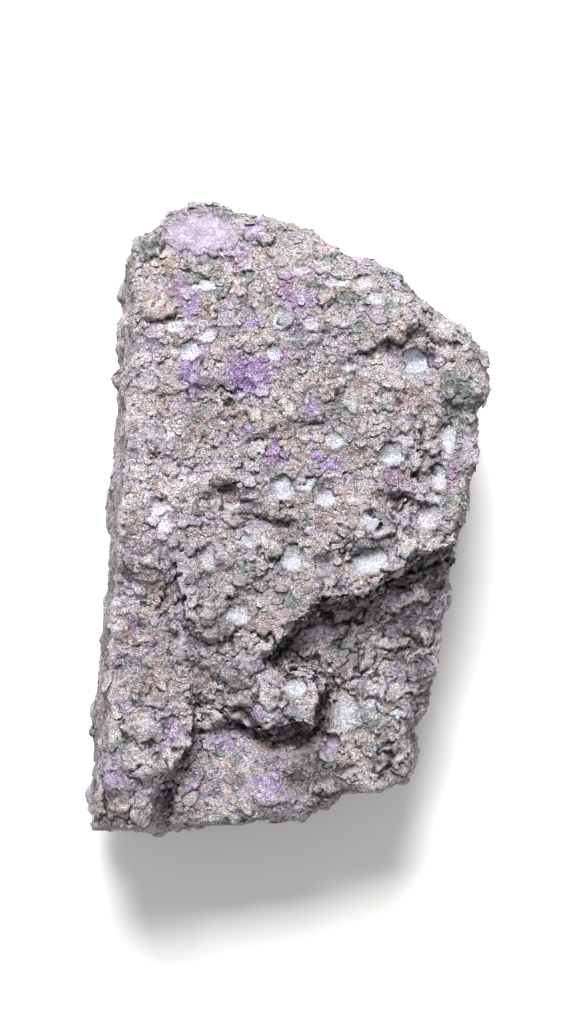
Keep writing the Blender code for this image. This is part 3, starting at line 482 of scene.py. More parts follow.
def sharpenSteps(piece):
    # near the cliffs, points above a step's middle rise to their highest neighbour and the others sink
    points = pointsOf(piece.data)
    near = np.zeros(len(points))
    for path in cliffs:
        near = np.maximum(near, ramp(besideLine(points[:, :2], path)[0], *steps["near"]))
    near *= points[:, 2] > steps["above"]
    a, b, count = neighbours(piece.data)
    height = points[:, 2]
    for turn in range(steps["turns"]):
        smooth = height
        for again in range(steps["smoothing"]):
            smooth = sumAround(a, b, smooth) / count
        high, low = height.copy(), height.copy()
        for one, other in ((a, b), (b, a)):
            np.maximum.at(high, one, height[other])
            np.minimum.at(low, one, height[other])
        goal = np.where(smooth < height, high, low)
        sure = np.tanh(np.abs(smooth - height) / steps["still"])
        height = height + steps["push"] * near * sure * (goal - height)
    points[:, 2] = height
    movePoints(piece.data, points)


def tiles(places, seed):
    # cells of one unit round scattered middles: a random number for each, how far across and how far in;
    # the large numbers only scramble
    home = np.floor(places)
    nearest, second = np.full(len(places), 9.0), np.full(len(places), 9.0)
    own, across = np.zeros(len(places)), np.zeros(len(places))
    for x in (-1, 0, 1):
        for y in (-1, 0, 1):
            cell = home + (x, y)
            mixed = [
                np.sin(cell @ (127.1 + 31 * k, 311.7 - 17 * k) + seed) * 43758.5453 % 1.0
                for k in range(3)
            ]
            gap = places - cell - np.stack(mixed[:2], axis=1)
            far = np.hypot(gap[:, 0], gap[:, 1])
            closer = far < nearest
            second = np.where(closer, nearest, np.minimum(second, far))
            own, across = np.where(closer, mixed[2], own), np.where(closer, gap[:, 1], across)
            nearest = np.minimum(nearest, far)
    return own, across, second - nearest


def shapeKnob(piece):
    points = pointsOf(piece.data)
    away = points - knob["middle"]
    far = np.hypot(away[:, 1], away[:, 2]) / knob["radius"]
    there = (far < knob["clear"]) & (away[:, 0] < knob["depth"])
    dome = knob["out"] * np.sqrt(np.clip(1.0 - far ** 2, 0.0, None))
    points[:, 0] = np.where(there, np.maximum(points[:, 0], knob["middle"][0]) - dome, points[:, 0])
    movePoints(piece.data, points)


def splinterLift(xy):
    lift = np.zeros(len(xy))
    depth, width = splinters["gap"]
    for number, (px, py, halfWidth, halfHeight, strength, turn) in enumerate(crumblyPlaces):
        out = oval(xy, px, py, halfWidth, halfHeight)[0]
        near = np.nonzero(out < splinters["edge"][0])[0]
        way = np.radians(turn)
        along = np.array([[np.cos(way), -np.sin(way)], [np.sin(way), np.cos(way)]])
        own, across, inward = tiles(xy[near] @ along / splinters["size"], splinters["seedStep"] * number)
        form = splinters["rise"] * (own - 0.5) + splinters["lean"] * across
        form -= depth * np.exp(-(inward / width) ** 2)
        lift[near] += form * strength * ramp(out[near], *splinters["edge"])
    return lift


def besideLine(xy, path):
    # distance to a line on the face, and its side: 1 on the left of the line's direction, -1 on the right
    spots = np.array([onFace(*p) for p in path])
    best = np.full(len(xy), 1e9)
    side = np.zeros(len(xy))
    for a, b in zip(spots, spots[1:]):
        run = b - a
        t = np.clip(((xy - a) @ run) / (run @ run), 0.0, 1.0)
        gap = xy - (a + t[:, None] * run)
        far = np.hypot(gap[:, 0], gap[:, 1])
        turn = run[0] * (xy[:, 1] - a[1]) - run[1] * (xy[:, 0] - a[0])
        side = np.where(far < best, np.sign(turn), side)
        best = np.minimum(best, far)
    return best, side


# carving: what stands up from the face and what is cut into it; places are shares of the half width
carving = dict(
    facing=(0.05, 0.35),  # how far up the rock has to look, and how softly
    above=(9.0, 3.0),  # mm, how high it has to be, and how softly
    lowSide=(0.4, 0.8),  # how much of a ledge's height its low side sinks, over how many mm
    crack=(0.8, 0.22),  # how much of a crack's depth is cut, half width in mm
    moat=(0.3, 1.12, 0.14),  # dip round a lump: depth over its height, place, width
    rim=(0.12, 1.1, 0.12),  # rim round a pit: height in mm, place, width
    bowl=(0.8, 0.5, 0.2, 1.2),  # a pit's depth in the middle, how much more at its upper end, least, most
    wall=((0.8, 3.0), (0.6, -0.3)),  # where the sides swell: height in mm, how level the rock may be
    swell=((1.0, 5.5, 91), (0.5, 2.4, 92)),  # strength, wavelength in mm, random seed
    shrink=0.1,  # mm, how far the sides go in first
)


def carveFace(piece):
    points = pointsOf(piece.data)
    normals = normalsOf(piece.data)
    facing = ramp(normals[:, 2], *carving["facing"]) * ramp(points[:, 2], *carving["above"])
    xy = ragged(points[:, :2])
    bowlXy = ragged(points[:, :2], stone["tornBowls"])
    lift = splinterLift(xy)
    for px, py, halfWidth, halfHeight, level in fills:
        weight = np.exp(-oval(xy, px, py, halfWidth, halfHeight)[0] ** 2)
        lift += weight * np.clip(level - points[:, 2] - lift, 0.0, None)
    for px, py, halfWidth, halfHeight, height in swells:
        lift += height * np.exp(-oval(xy, px, py, halfWidth, halfHeight)[0] ** 2)

    below = weakerBelow(points)
    sink, sinkReach = carving["lowSide"]
    cut, cutWidth = carving["crack"]
    for path, height, reach, crack in ledges:
        far, side = besideLine(xy, path)
        high = height * np.exp(-far / reach) * (side < 0)
        high -= sink * height * np.exp(-far / sinkReach) * (side >= 0)
        lift += below * (high - cut * crack * np.exp(-(far / cutWidth) ** 2))

    dip, dipPlace, dipWidth = carving["moat"]
    for px, py, halfWidth, halfHeight, height in lumps:
        out = oval(xy, px, py, halfWidth, halfHeight)[0]
        dome = np.sqrt(np.clip(1.0 - out ** 2, 0.0, None)) - dip * np.exp(-((out - dipPlace) / dipWidth) ** 2)
        lift += below * height * dome

    rimHeight, rimPlace, rimWidth = carving["rim"]
    middle, slope, least, most = carving["bowl"]
    for px, py, halfWidth, halfHeight, depth, *floor in pits:
        out, up = oval(bowlXy, px, py, halfWidth, halfHeight)
        bowl = np.sqrt(np.clip(1.0 - out ** 2, 0.0, None)) * np.clip(middle + slope * up, least, most)
        lift += rimHeight * np.exp(-((out - rimPlace) / rimWidth) ** 2) - stone["pitReach"] * depth * bowl
    points[:, 2] += lift * facing

    height, level = carving["wall"]
    wall = (1.0 - facing) * ramp(points[:, 2], *height) * ramp(np.abs(normals[:, 2]), *level)
    swell = sum(strength * ripple(points, *wave) for strength, *wave in carving["swell"])
    points += normals * (wall * (stone["wallSwell"] * swell - carving["shrink"]))[:, None]
    movePoints(piece.data, points)


def patchField(xy, patches):
    field = np.zeros(len(xy))
    for px, py, halfWidth, halfHeight, strength, *rest in patches:
        out = oval(xy, px, py, halfWidth, halfHeight)[0]
        field = np.maximum(field, strength * np.clip(patchEdge - out, 0.0, 1.0))
    return field


# patches of colour on the sides and back: width in mm, level that they start at, strength, random seed
sidePigments = dict(
    violet=(5.0, 0.75, 1.0, 71), magenta=(3.5, 1.25, 0.8, 72), lilac=(6.0, 0.9, 0.8, 73),
    white=(2.6, 1.35, 0.8, 74), cream=(4.5, 0.7, 0.8, 75), peach=(4.0, 1.0, 0.8, 76),
    green=(5.0, 0.8, 0.8, 77), dark=(4.0, 1.0, 0.5, 78),
)

# painting: the fields that the finish reads; places are shares of the half width
painting = dict(
    facing=(-0.35, 0.5),  # how far up the rock has to look for the face's patches, and how softly
    above=(7.0, 4.0),  # mm, how high it has to be, and how softly
    sideSoft=0.5,  # how soft the side patches' edges are
    crumblyShade=0.42,  # how much painted shade darkens the crumbling places
    lineWidth=0.22,  # mm, half width of the drawn lines
    ledgeLine=1.6,  # strength over the depth of the crack
    lumpLine=(1.06, 1.7, 0.6, -0.7),  # place, strength over the height, in the middle, more at the top; below nought, so the line is painted shadow under each lump's lower edge
    pitLine=(1.0, 1.3, 0.2, 0.7),  # the same over the depth, so the line is painted shade under each pit's upper rim
    lumpReach=1.15,  # no flakes within this
    pitFloor=(1.35, -0.7),  # where the pale floor has died out, and how softly
    paler=(0.9, -0.4, 1.2),  # how pale it is in the middle, more at the top, most; below nought, so floors are paler on their lower side, as painted light
    lilacFloor=(1.25, 1.1),  # where a lilac floor has died out, strength
    smooth=1.6,  # how fast pit floors get smooth
    faint=0.6,  # strength of the drawn lines beside that of real grooves
)

# hollows: the mesh is smoothed turn by turn, and what lies below it counts, by turn and strength
hollows = dict(turns=40, keep=0.4, take=0.6, wide={5: 1.3, 39: 0.9}, narrow=(2, 6.0, 0.12))


def paintFields(mesh):
    points = pointsOf(mesh)
    normals = normalsOf(mesh)
    xy = ragged(points[:, :2])
    facing = ramp(normals[:, 2], *painting["facing"]) * ramp(points[:, 2], *painting["above"])
    fields = {name: patchField(xy, patches) * facing for name, patches in pigments.items()}
    fields["white"] = np.zeros(len(points))
    for name, (width, level, strength, seed) in sidePigments.items():
        patches = ramp(ripple(points, width, seed), level, painting["sideSoft"]) * strength
        fields[name] = np.maximum(fields[name], patches * (1.0 - facing))
    fields["crumbly"] = patchField(xy, crumblyPlaces) * facing
    # the crumbling places get painted shade
    fields["dark"] = np.maximum(fields["dark"], painting["crumblyShade"] * fields["crumbly"])
    groove, line = np.zeros(len(points)), np.full(len(points), 0.5)
    stands = np.zeros(len(points))

    def draw(gap, strength, middle=1.0, slope=0.0, up=0.0):
        # a line where the signed gap in mm is nought
        nonlocal groove, line
        strength = min(1.0, strength) * np.clip(middle + slope * up, 0.0, 1.0)
        groove = np.maximum(groove, strength * np.exp(-(gap / painting["lineWidth"]) ** 2))
        line = np.where(np.abs(gap) < np.abs(line), gap, line)

    for path, height, reach, crack in ledges:
        far, side = besideLine(xy, path)
        draw(far * side, painting["ledgeLine"] * crack)
    place, strength, middle, slope = painting["lumpLine"]
    for px, py, halfWidth, halfHeight, height in lumps:
        out, up = oval(xy, px, py, halfWidth, halfHeight)
        stands = np.maximum(stands, out < painting["lumpReach"])
        draw((out - place) * min(halfWidth, halfHeight) * pixel, strength * height, middle, slope, up)
    place, strength, middle, slope = painting["pitLine"]
    for px, py, halfWidth, halfHeight, depth, *floor in pits:
        out, up = oval(xy, px, py, halfWidth, halfHeight)
        draw((out - place) * min(halfWidth, halfHeight) * pixel, strength * depth, middle, slope, up)

    whiteAndLitFloor, lilacFloor = np.zeros(len(points)), np.zeros(len(points))
    xy = ragged(points[:, :2], stone["tornBowls"])
    middle, slope, most = painting["paler"]
    edge, lilacStrength = painting["lilacFloor"]
    # the pit floors' white is the rock's own; their growing paler towards the lower side is painted light
    for px, py, halfWidth, halfHeight, depth, white, lilac in pits:
        out, up = oval(xy, px, py, halfWidth, halfHeight)
        low = ramp(out, *painting["pitFloor"]) * np.clip(middle + slope * up, 0.0, most)
        whiteAndLitFloor = np.maximum(whiteAndLitFloor, white * low)
        lilacFloor = np.maximum(lilacFloor, lilac * np.clip(edge - out, 0.0, 1.0))
    fields["white"] = np.maximum(whiteAndLitFloor * facing, fields["white"])
    fields["lilac"] = np.maximum(fields["lilac"], lilacFloor * facing * lilacStrength)
    fields["calm"] = np.clip(patchField(xy, calmPlaces), 0.0, 1.0) * facing
    fields["tone"] = np.zeros(len(points))
    for px, py, halfWidth, halfHeight, paler in toneAndLightPlaces:
        fields["tone"] += paler * np.exp(-oval(xy, px, py, halfWidth, halfHeight)[0] ** 4) * facing
    smooth = np.maximum(whiteAndLitFloor, lilacFloor) * painting["smooth"]
    fields["smooth"] = np.clip(smooth, 0.0, 1.0) * facing
    fields["hollow"], narrow = hollowness(mesh, points, normals)
    fields["outline"], fields["line"], fields["stands"] = groove * facing, line, stands * facing
    fields["groove"] = np.clip(np.maximum(painting["faint"] * groove * facing, narrow), 0.0, 1.0)
    return fields


def hollowness(mesh, points, normals):
    # how far each point lies below what surrounds it, widely and narrowly, positive in hollows
    a, b, count = neighbours(mesh)
    smoothed = points.copy()
    below = np.zeros(len(points))
    narrowTurn, strength, least = hollows["narrow"]
    for turn in range(hollows["turns"]):
        average = sumAround(a, b, smoothed)
        smoothed = hollows["keep"] * smoothed + hollows["take"] * average / count[:, None]
        if turn in hollows["wide"]:
            below += ((smoothed - points) * normals).sum(axis=1) * hollows["wide"][turn]
        if turn == narrowTurn:
            narrow = ((smoothed - points) * normals).sum(axis=1) * strength - least
    return below, narrow


# which fields go into each colour attribute
fieldLayers = dict(
    coverA=("violet", "magenta", "lilac"),
    coverB=("white", "cream", "peach"),
    coverC=("green", "dark", "hollow"),
    coverD=("groove", "calm", "outline"),
    coverE=("line", "tone"),
)


def storeFields(mesh, fields):
    for layer, names in fieldLayers.items():
        attribute = mesh.attributes.new(layer, "FLOAT_COLOR", "POINT")
        values = np.ones((len(mesh.vertices), 4), np.float32)
        for channel, name in enumerate(names):
            values[:, channel] = fields[name]
        attribute.data.foreach_set("color", values.ravel())


# node helpers, the same for shader and geometry trees
def put(tree, value, socket):
    if isinstance(value, bpy.types.NodeSocket):
        tree.links.new(value, socket)
    else:
        socket.default_value = value


def addNode(tree, kind, inputs=(), **settings):
    made = tree.nodes.new(kind)
    for name, value in settings.items():
        setattr(made, name, value)
    for name, value in dict(inputs).items():
        put(tree, value, made.inputs[name])
    return made


def calc(tree, operation, *values):
    made = addNode(tree, "ShaderNodeMath", operation=operation)
    for slot, value in enumerate(values):
        put(tree, value, made.inputs[slot])
    return made.outputs[0]


def calcVector(tree, operation, *values, out=0):
    made = addNode(tree, "ShaderNodeVectorMath", operation=operation)
    for slot, value in enumerate(values):
        put(tree, value, made.inputs["Scale"] if operation == "SCALE" and slot == 1 else made.inputs[slot])
    return made.outputs[out]


def band(tree, value, low, high, start=0.0, end=1.0):
    inputs = {"Value": value, "From Min": low, "From Max": high, "To Min": start, "To Max": end}
    return addNode(tree, "ShaderNodeMapRange", inputs, interpolation_type="SMOOTHSTEP").outputs[0]


def noiseAt(tree, place, scale, detail=2.0, rough=0.5, out=0):
    inputs = {"Vector": place, "Scale": scale, "Detail": detail, "Roughness": rough}
    return addNode(tree, "ShaderNodeTexNoise", inputs).outputs[out]


def mixColour(tree, factor, under, over):
    made = addNode(tree, "ShaderNodeMix", data_type="RGBA")
    put(tree, factor, made.inputs[0])
    put(tree, under, made.inputs[6])
    put(tree, over, made.inputs[7])
    return made.outputs[2]


def tone(red, green, blue):
    # a colour as a picture editor shows it, 0 to 255, in Blender's linear values
    linear = [((c / 255 + 0.055) / 1.055) ** 2.4 if c > 10 else c / 3294.6 for c in (red, green, blue)]
    return (*linear, 1.0)


def newGroup(name, kind, inputs, outputs):
    group = bpy.data.node_groups.new(name, kind)
    for label, form in inputs:
        group.interface.new_socket(label, in_out="INPUT", socket_type=form)
    for label, form in outputs:
        group.interface.new_socket(label, in_out="OUTPUT", socket_type=form)
    return group, group.nodes.new("NodeGroupInput"), group.nodes.new("NodeGroupOutput")


# scales: the dimples, flakes and crumbs that the rock breaks into; sizes in cells per mm, heights in mm
scales = dict(
    warp=((0.5, 0.9), (1.7, 0.22)),  # scale and reach of the two noises that bend the outlines
    stretch=(0.86, 1.10, 1.0),  # a scale is wider than it is high
    rise=(0.0, -0.36, 0.0),  # every scale lifts at its lower edge, as shingles do
    dimples=dict(
        size=0.50, depth=0.30,
        share=0.52,  # of the cells
        reach=0.46, sizes=(0.6, 1.2),  # of the reach
        wall=(1.0, 0.35),  # where the bowl begins and where it is at its deepest
        still=-0.7,  # dimple floors are smoother
    ),
    large=(0.46, 0.20, 0.06),  # cells, how far they lean, width of the crack round them
    middle=(0.95, 0.15, 0.07),
    small=(2.2, 0.075, 0.10),
    grains=(3.6, 0.06),
    lower=(0.30, -0.12, 0.12, 1.0),  # cracks and rims show on a cell's lower side, where the colour lays them as painted shadow and painted highlight: from, to, least, most
    rim=(0.9, 1.7, 1.9, 3.4),  # where the pale rim, a painted highlight, starts, is full, thins and ends, over the crack's width
    gates=((0.45, 0.36, 0.54), (0.9, 0.40, 0.60)),  # where large and middle cracks are: noise scale, from, to
    depths=(-0.18, -0.09, -0.05),  # of the three cracks
    smallCrack=0.6,  # how dark the small one is
)


def cells(tree, place, scale, leanReach, crackWidth):
    # leaning facets with a crack and a pale rim on their lower side, for painted shadow and painted
    # highlight: lean in mm, crack and rim 0 to 1, a random colour for each
    given = {"Vector": place, "Scale": scale}
    flake = addNode(tree, "ShaderNodeTexVoronoi", given)
    away = calcVector(tree, "SUBTRACT", place, flake.outputs["Position"])
    tilt = calcVector(tree, "SUBTRACT", flake.outputs["Color"], tuple(0.5 - r for r in scales["rise"]))
    lean = calcVector(tree, "DOT_PRODUCT", away, tilt, out=1)
    lean = calc(tree, "MULTIPLY", lean, 2.0 * leanReach * scale)
    edge = addNode(tree, "ShaderNodeTexVoronoi", given, feature="DISTANCE_TO_EDGE").outputs["Distance"]
    lower = addNode(tree, "ShaderNodeSeparateXYZ", {0: away}).outputs[1]
    lower = band(tree, calc(tree, "MULTIPLY", lower, scale), *scales["lower"])
    crack = calc(tree, "MULTIPLY", band(tree, edge, 0.0, crackWidth, 1.0, 0.0), lower)
    start, full, thin, end = (share * crackWidth for share in scales["rim"])
    rim = calc(tree, "MULTIPLY", band(tree, edge, start, full), band(tree, edge, end, thin))
    return lean, crack, calc(tree, "MULTIPLY", rim, lower), flake.outputs["Color"]


def dimplesOf(tree, place):
    # shallow bowls in about half of the cells: how deep 0 to 1, and a random colour for each
    shape = scales["dimples"]
    spot = addNode(tree, "ShaderNodeTexVoronoi", {"Vector": place, "Scale": shape["size"]})
    chance = addNode(tree, "ShaderNodeSeparateXYZ", {0: spot.outputs["Color"]})
    least, most = (share * shape["reach"] for share in shape["sizes"])
    reach = band(tree, chance.outputs[1], 0.0, 1.0, least, most)
    bowl = band(tree, calc(tree, "DIVIDE", spot.outputs["Distance"], reach), *shape["wall"])
    there = calc(tree, "LESS_THAN", chance.outputs[0], shape["share"])
    return calc(tree, "MULTIPLY", bowl, there), spot.outputs["Color"]


def buildScales(name, kind):
    # the same pattern for the mesh (geometry) and for its colour and fine bump (shader)
    group, given, result = newGroup(
        name, kind,
        [("Place", "NodeSocketVector")],
        [("Form", "NodeSocketFloat"), ("Fine", "NodeSocketFloat"), ("Crack", "NodeSocketFloat"),
         ("Rim", "NodeSocketFloat"), ("Dimple", "NodeSocketFloat"), ("Tint", "NodeSocketColor"),
         ("Flake", "NodeSocketColor"), ("Spot", "NodeSocketColor")],
    )
    place = given.outputs["Place"]
    bent = place
    for size, reach in scales["warp"]:
        wave = calcVector(group, "SUBTRACT", noiseAt(group, place, size, 3.0, 0.6, out=1), (0.5, 0.5, 0.5))
        bent = calcVector(group, "ADD", bent, calcVector(group, "SCALE", wave, 2 * reach))
    bent = calcVector(group, "MULTIPLY", bent, scales["stretch"])
    dimple, spot = dimplesOf(group, bent)
    large, middle, small = [cells(group, bent, *scales[size]) for size in ("large", "middle", "small")]
    gates = [band(group, noiseAt(group, place, size, 2.0), low, high) for size, low, high in scales["gates"]]
    cracks = [calc(group, "MULTIPLY", cell[1], gate) for cell, gate in zip((large, middle), gates)]
    rims = [calc(group, "MULTIPLY", cell[2], gate) for cell, gate in zip((large, middle), gates)]
    cracks.append(small[1])

    still = calc(group, "MULTIPLY_ADD", dimple, scales["dimples"]["still"], 1.0)
    form = calc(group, "MULTIPLY", calc(group, "ADD", large[0], middle[0]), still)
    form = calc(group, "MULTIPLY_ADD", dimple, -scales["dimples"]["depth"], form)
    for crack, depth in zip(cracks[:2], scales["depths"]):
        form = calc(group, "MULTIPLY_ADD", crack, depth, form)
    size, height = scales["grains"]
    grain = calc(group, "SUBTRACT", noiseAt(group, place, size, 3.0, 0.65), 0.5)
    fine = calc(group, "MULTIPLY_ADD", grain, height * 2, calc(group, "MULTIPLY", small[0], still))
    fine = calc(group, "MULTIPLY_ADD", cracks[2], scales["depths"][2], fine)
    crack = calc(group, "MAXIMUM", cracks[0], cracks[1])
    crack = calc(group, "MAXIMUM", crack, calc(group, "MULTIPLY", cracks[2], scales["smallCrack"]))
    crack = calc(group, "MULTIPLY", crack, still)
    rim = calc(group, "MAXIMUM", *rims)
    for label, value in [("Form", form), ("Fine", fine), ("Crack", crack), ("Rim", rim), ("Dimple", dimple),
                         ("Tint", middle[3]), ("Flake", small[3]), ("Spot", spot)]:
        put(group, value, result.inputs[label])
    return group


# relief: how strongly the scales stand out in each kind of place
relief = dict(
    floorUp=(0.4, 1.5),  # mm over the floor where they begin, and how softly
    left=0.55,  # how much weaker they are on the left side
    leftFrom=(0.4, 0.4),  # how far to the left the rock has to look, and how softly
    calmMost=0.85,
    faceFull=0.5,  # how far up the rock looks where the lower half's weakening is full
    sideFrom=(0.5, -0.5),  # how far up it looks where the sides begin, and how softly
    pitFloors=0.8,  # how much weaker on the floors of pits
    crumbly=0.3,  # how much stronger where the rock crumbles
    fine=0.7,  # how much of the finest pattern is in the mesh
)


def displace(piece):
    # scales on the mesh, along its normals; its place before that is kept for the colours
    tree = bpy.data.node_groups.new("scaleRelief", "GeometryNodeTree")
    tree.interface.new_socket("Geometry", in_out="INPUT", socket_type="NodeSocketGeometry")
    tree.interface.new_socket("Geometry", in_out="OUTPUT", socket_type="NodeSocketGeometry")
    given, result = tree.nodes.new("NodeGroupInput"), tree.nodes.new("NodeGroupOutput")
    where = tree.nodes.new("GeometryNodeInputPosition").outputs[0]
    keep = addNode(tree, "GeometryNodeStoreNamedAttribute", {"Geometry": given.outputs[0], "Name": "rest"},
                   data_type="FLOAT_VECTOR", domain="POINT")
    put(tree, calcVector(tree, "SCALE", where, 1.0 / mm), keep.inputs["Value"])
    pattern = tree.nodes.new("GeometryNodeGroup")
    pattern.node_tree = buildScales("scalesMesh", "GeometryNodeTree")
    put(tree, calcVector(tree, "SCALE", where, 1.0 / mm), pattern.inputs["Place"])
    reach = addNode(tree, "GeometryNodeInputNamedAttribute", {"Name": "reach"}, data_type="FLOAT").outputs[0]
    amount = calc(tree, "MULTIPLY_ADD", pattern.outputs["Fine"], relief["fine"], pattern.outputs["Form"])
    amount = calc(tree, "MULTIPLY", amount, reach)
    amount = calc(tree, "MULTIPLY", amount, mm * stone["scaleReach"])
    normal = tree.nodes.new("GeometryNodeInputNormal").outputs[0]
    move = addNode(tree, "GeometryNodeSetPosition", {"Geometry": keep.outputs[0]})
    put(tree, calcVector(tree, "SCALE", normal, amount), move.inputs["Offset"])
    put(tree, move.outputs[0], result.inputs[0])
    piece.modifiers.new("scales", "NODES").node_group = tree
    settle(piece)


def setReach(piece):
    # how strongly the scales stand out: less on pit floors, the lilac end, calm places, the lower half, the
    # left side and near the floor, and more on the sides and where the rock crumbles
    points, normals = pointsOf(piece.data), normalsOf(piece.data)
    fields = paintFields(piece.data)
    low = ramp(points[:, 2], *relief["floorUp"])
    left = 1.0 - relief["left"] * ramp(-normals[:, 0], *relief["leftFrom"])
    calm = 1.0 - np.clip(patchField(points[:, :2], calmPlaces), 0.0, relief["calmMost"])
    below = 1.0 - (1.0 - weakerBelow(points)) * ramp(normals[:, 2], 0.0, relief["faceFull"])
    wall = 1.0 + stone["wallReach"] * ramp(normals[:, 2], *relief["sideFrom"])
    reach = (1.0 - relief["pitFloors"] * fields["smooth"]) * left * calm * low * below * wall
    reach *= 1.0 + relief["crumbly"] * fields["crumbly"]
    values = piece.data.attributes.new("reach", "FLOAT", "POINT")
    values.data.foreach_set("value", reach.astype(np.float32))


# thinning: what counts as the face and as the sides, by how far up the rock looks and by mm over the floor
thinning = dict(
    face=((-0.2, 0.4), (10.0, 4.0)), faceKept=0.9,
    side=((-0.85, 0.3), (0.0, 1.5)), sideKept=0.45,
    levels=10,
)


def thinOut(piece):
    # the face keeps its points, the sides and back lose more
    points, normals = pointsOf(piece.data), normalsOf(piece.data)
    face, side = [
        ramp(normals[:, 2], *thinning[name][0]) * ramp(points[:, 2], *thinning[name][1])
        for name in ("face", "side")
    ]
    group = piece.vertex_groups.new(name="back")
    away = 1.0 - thinning["sideKept"] * side * (1.0 - face) - thinning["faceKept"] * face
    levels = thinning["levels"]
    for step in range(levels + 1):
        chosen = np.nonzero(np.round(away * levels).astype(int) == step)[0]
        if len(chosen):
            group.add(chosen.tolist(), step / levels, "REPLACE")
    faces = sum(len(f.vertices) - 2 for f in piece.data.polygons)
    thin = piece.modifiers.new("thin", "DECIMATE")
    thin.ratio = min(1.0, stone["triangles"] / faces)
    thin.vertex_group = "back"
    thin.vertex_group_factor = stone["coarseBack"]
    thin.use_collapse_triangulate = True
    settle(piece)
    piece.vertex_groups.clear()
    print("stone thinned from", faces, "to", len(piece.data.polygons), "triangles")


# flakes: thin chips that stand off the rock like shingles, sizes in mm
flakes = dict(
    seed=41,
    shapes=24,  # different outlines
    corners=9,
    radius=(0.26, 1.05),
    small=2.3,  # higher for more small ones
    spacing=0.80,  # of the two radii together
    lift=(0.03, 0.21),  # how steeply the lower edge stands off, rise over run
    sink=(-0.11, 0.02),  # of the radius
    wobble=0.12,
    turn=0.9,  # how far they are turned at most, in radians
    wide=1.12, high=(0.66, 1.0),  # of the radius
    backFlatter=0.4, backSunk=0.04,  # on the sides and back
    cups=0.45,  # share with a hollow top
    clumps=5.0,  # how wide the bare and the flaky stretches are
    clumpEdge=(0.3, -0.45),  # how ragged those are, and how bare
    face=(0.45, 10.0),  # what counts as the face: how far up it looks, mm over the floor
    above=1.2,  # mm over the floor, where the lowest ones are
    barerCalm=1.3, barerCrumbly=0.7, barerBelow=0.9,  # how much rarer they are there and on the lower half
    clearOf=dict(stands=0.5, outline=0.35, smooth=0.2),  # none where a field is above this
    faceCount=3000,
    backCount=3300,
)

# one flake of 1 mm radius: how far in its inner ring lies, the point below, how unequal the corners are
flakeForm = dict(
    inset=0.34, point=(0.0, 0.15, -0.42),
    rim=(-0.36, 0.18), rimHeight=0.06,
    ring=0.12, ringHeight=0.05, ringAt=(0.09, -0.10),  # domed, hollow
    middleHeight=0.03, middleAt=(0.11, -0.18),
)


def flakeShapes(chance):
    # outlines of one mm radius: a domed or hollow top, a thin rim and a pointed underside
    shapes = []
    for number in range(flakes["shapes"]):
        hollowTop = number < flakes["cups"] * flakes["shapes"]
        form = bmesh.new()
        rim = bmesh.ops.create_circle(form, cap_ends=True, segments=flakes["corners"], radius=1.0)["verts"]
        form.faces.ensure_lookup_table()
        top = form.faces[0]
        bmesh.ops.inset_individual(form, faces=[top], thickness=flakeForm["inset"])
        innerRing = list(top.verts)
        middle = bmesh.ops.poke(form, faces=[top])["verts"][0]
        edges = [e for e in form.edges if e.is_boundary]
        under = bmesh.ops.extrude_edge_only(form, edges=edges)["geom"]
        low = [v for v in under if isinstance(v, bmesh.types.BMVert)]
        bmesh.ops.pointmerge(form, verts=low, merge_co=flakeForm["point"])
        bmesh.ops.triangulate(form, faces=form.faces)
        bmesh.ops.recalc_face_normals(form, faces=form.faces)
        spread, ring, middleSpread = (flakeForm[key] for key in ("rimHeight", "ringHeight", "middleHeight"))
        for vert in rim:
            vert.co *= 1.0 + chance.uniform(*flakeForm["rim"])
            vert.co.z = chance.uniform(-spread, spread)
        for vert in innerRing:
            vert.co *= 1.0 + chance.uniform(-flakeForm["ring"], flakeForm["ring"])
            vert.co.z = flakeForm["ringAt"][hollowTop] + chance.uniform(-ring, ring)
        middle.co.z = flakeForm["middleAt"][hollowTop] + chance.uniform(-middleSpread, middleSpread)
        form.verts.index_update()
        places = np.array([v.co for v in form.verts])
        corners = np.array([[v.index for v in f.verts] for f in form.faces])
        shapes.append((places, corners))
        form.free()
    return shapes


def chooseSpots(points, radii, order, count):
    # spots for the flakes, apart from each other, in a random order
    cell = 2 * flakes["radius"][1]
    taken = {}
    chosen = []
    for index in order:
        spot, radius = points[index], radii[index]
        home = tuple((spot // cell).astype(int))
        close = [
            other for x in (-1, 0, 1) for y in (-1, 0, 1) for z in (-1, 0, 1)
            for other in taken.get((home[0] + x, home[1] + y, home[2] + z), ())
        ]
        if close:
            gaps = np.array(close)
            apart = np.linalg.norm(gaps[:, :3] - spot, axis=1)
            if (apart < flakes["spacing"] * (gaps[:, 3] + radius)).any():
                continue
        taken.setdefault(home, []).append((*spot, radius))
        chosen.append(index)
        if len(chosen) == count:
            break
    return np.array(chosen)


def softNormals(mesh, normals, turns=10):
    # normals averaged with their neighbours', which follow the larger forms
    a, b, count = neighbours(mesh)
    for turn in range(turns):
        normals = sumAround(a, b, normals) + normals
        normals = normals / np.linalg.norm(normals, axis=1)[:, None]
    return normals


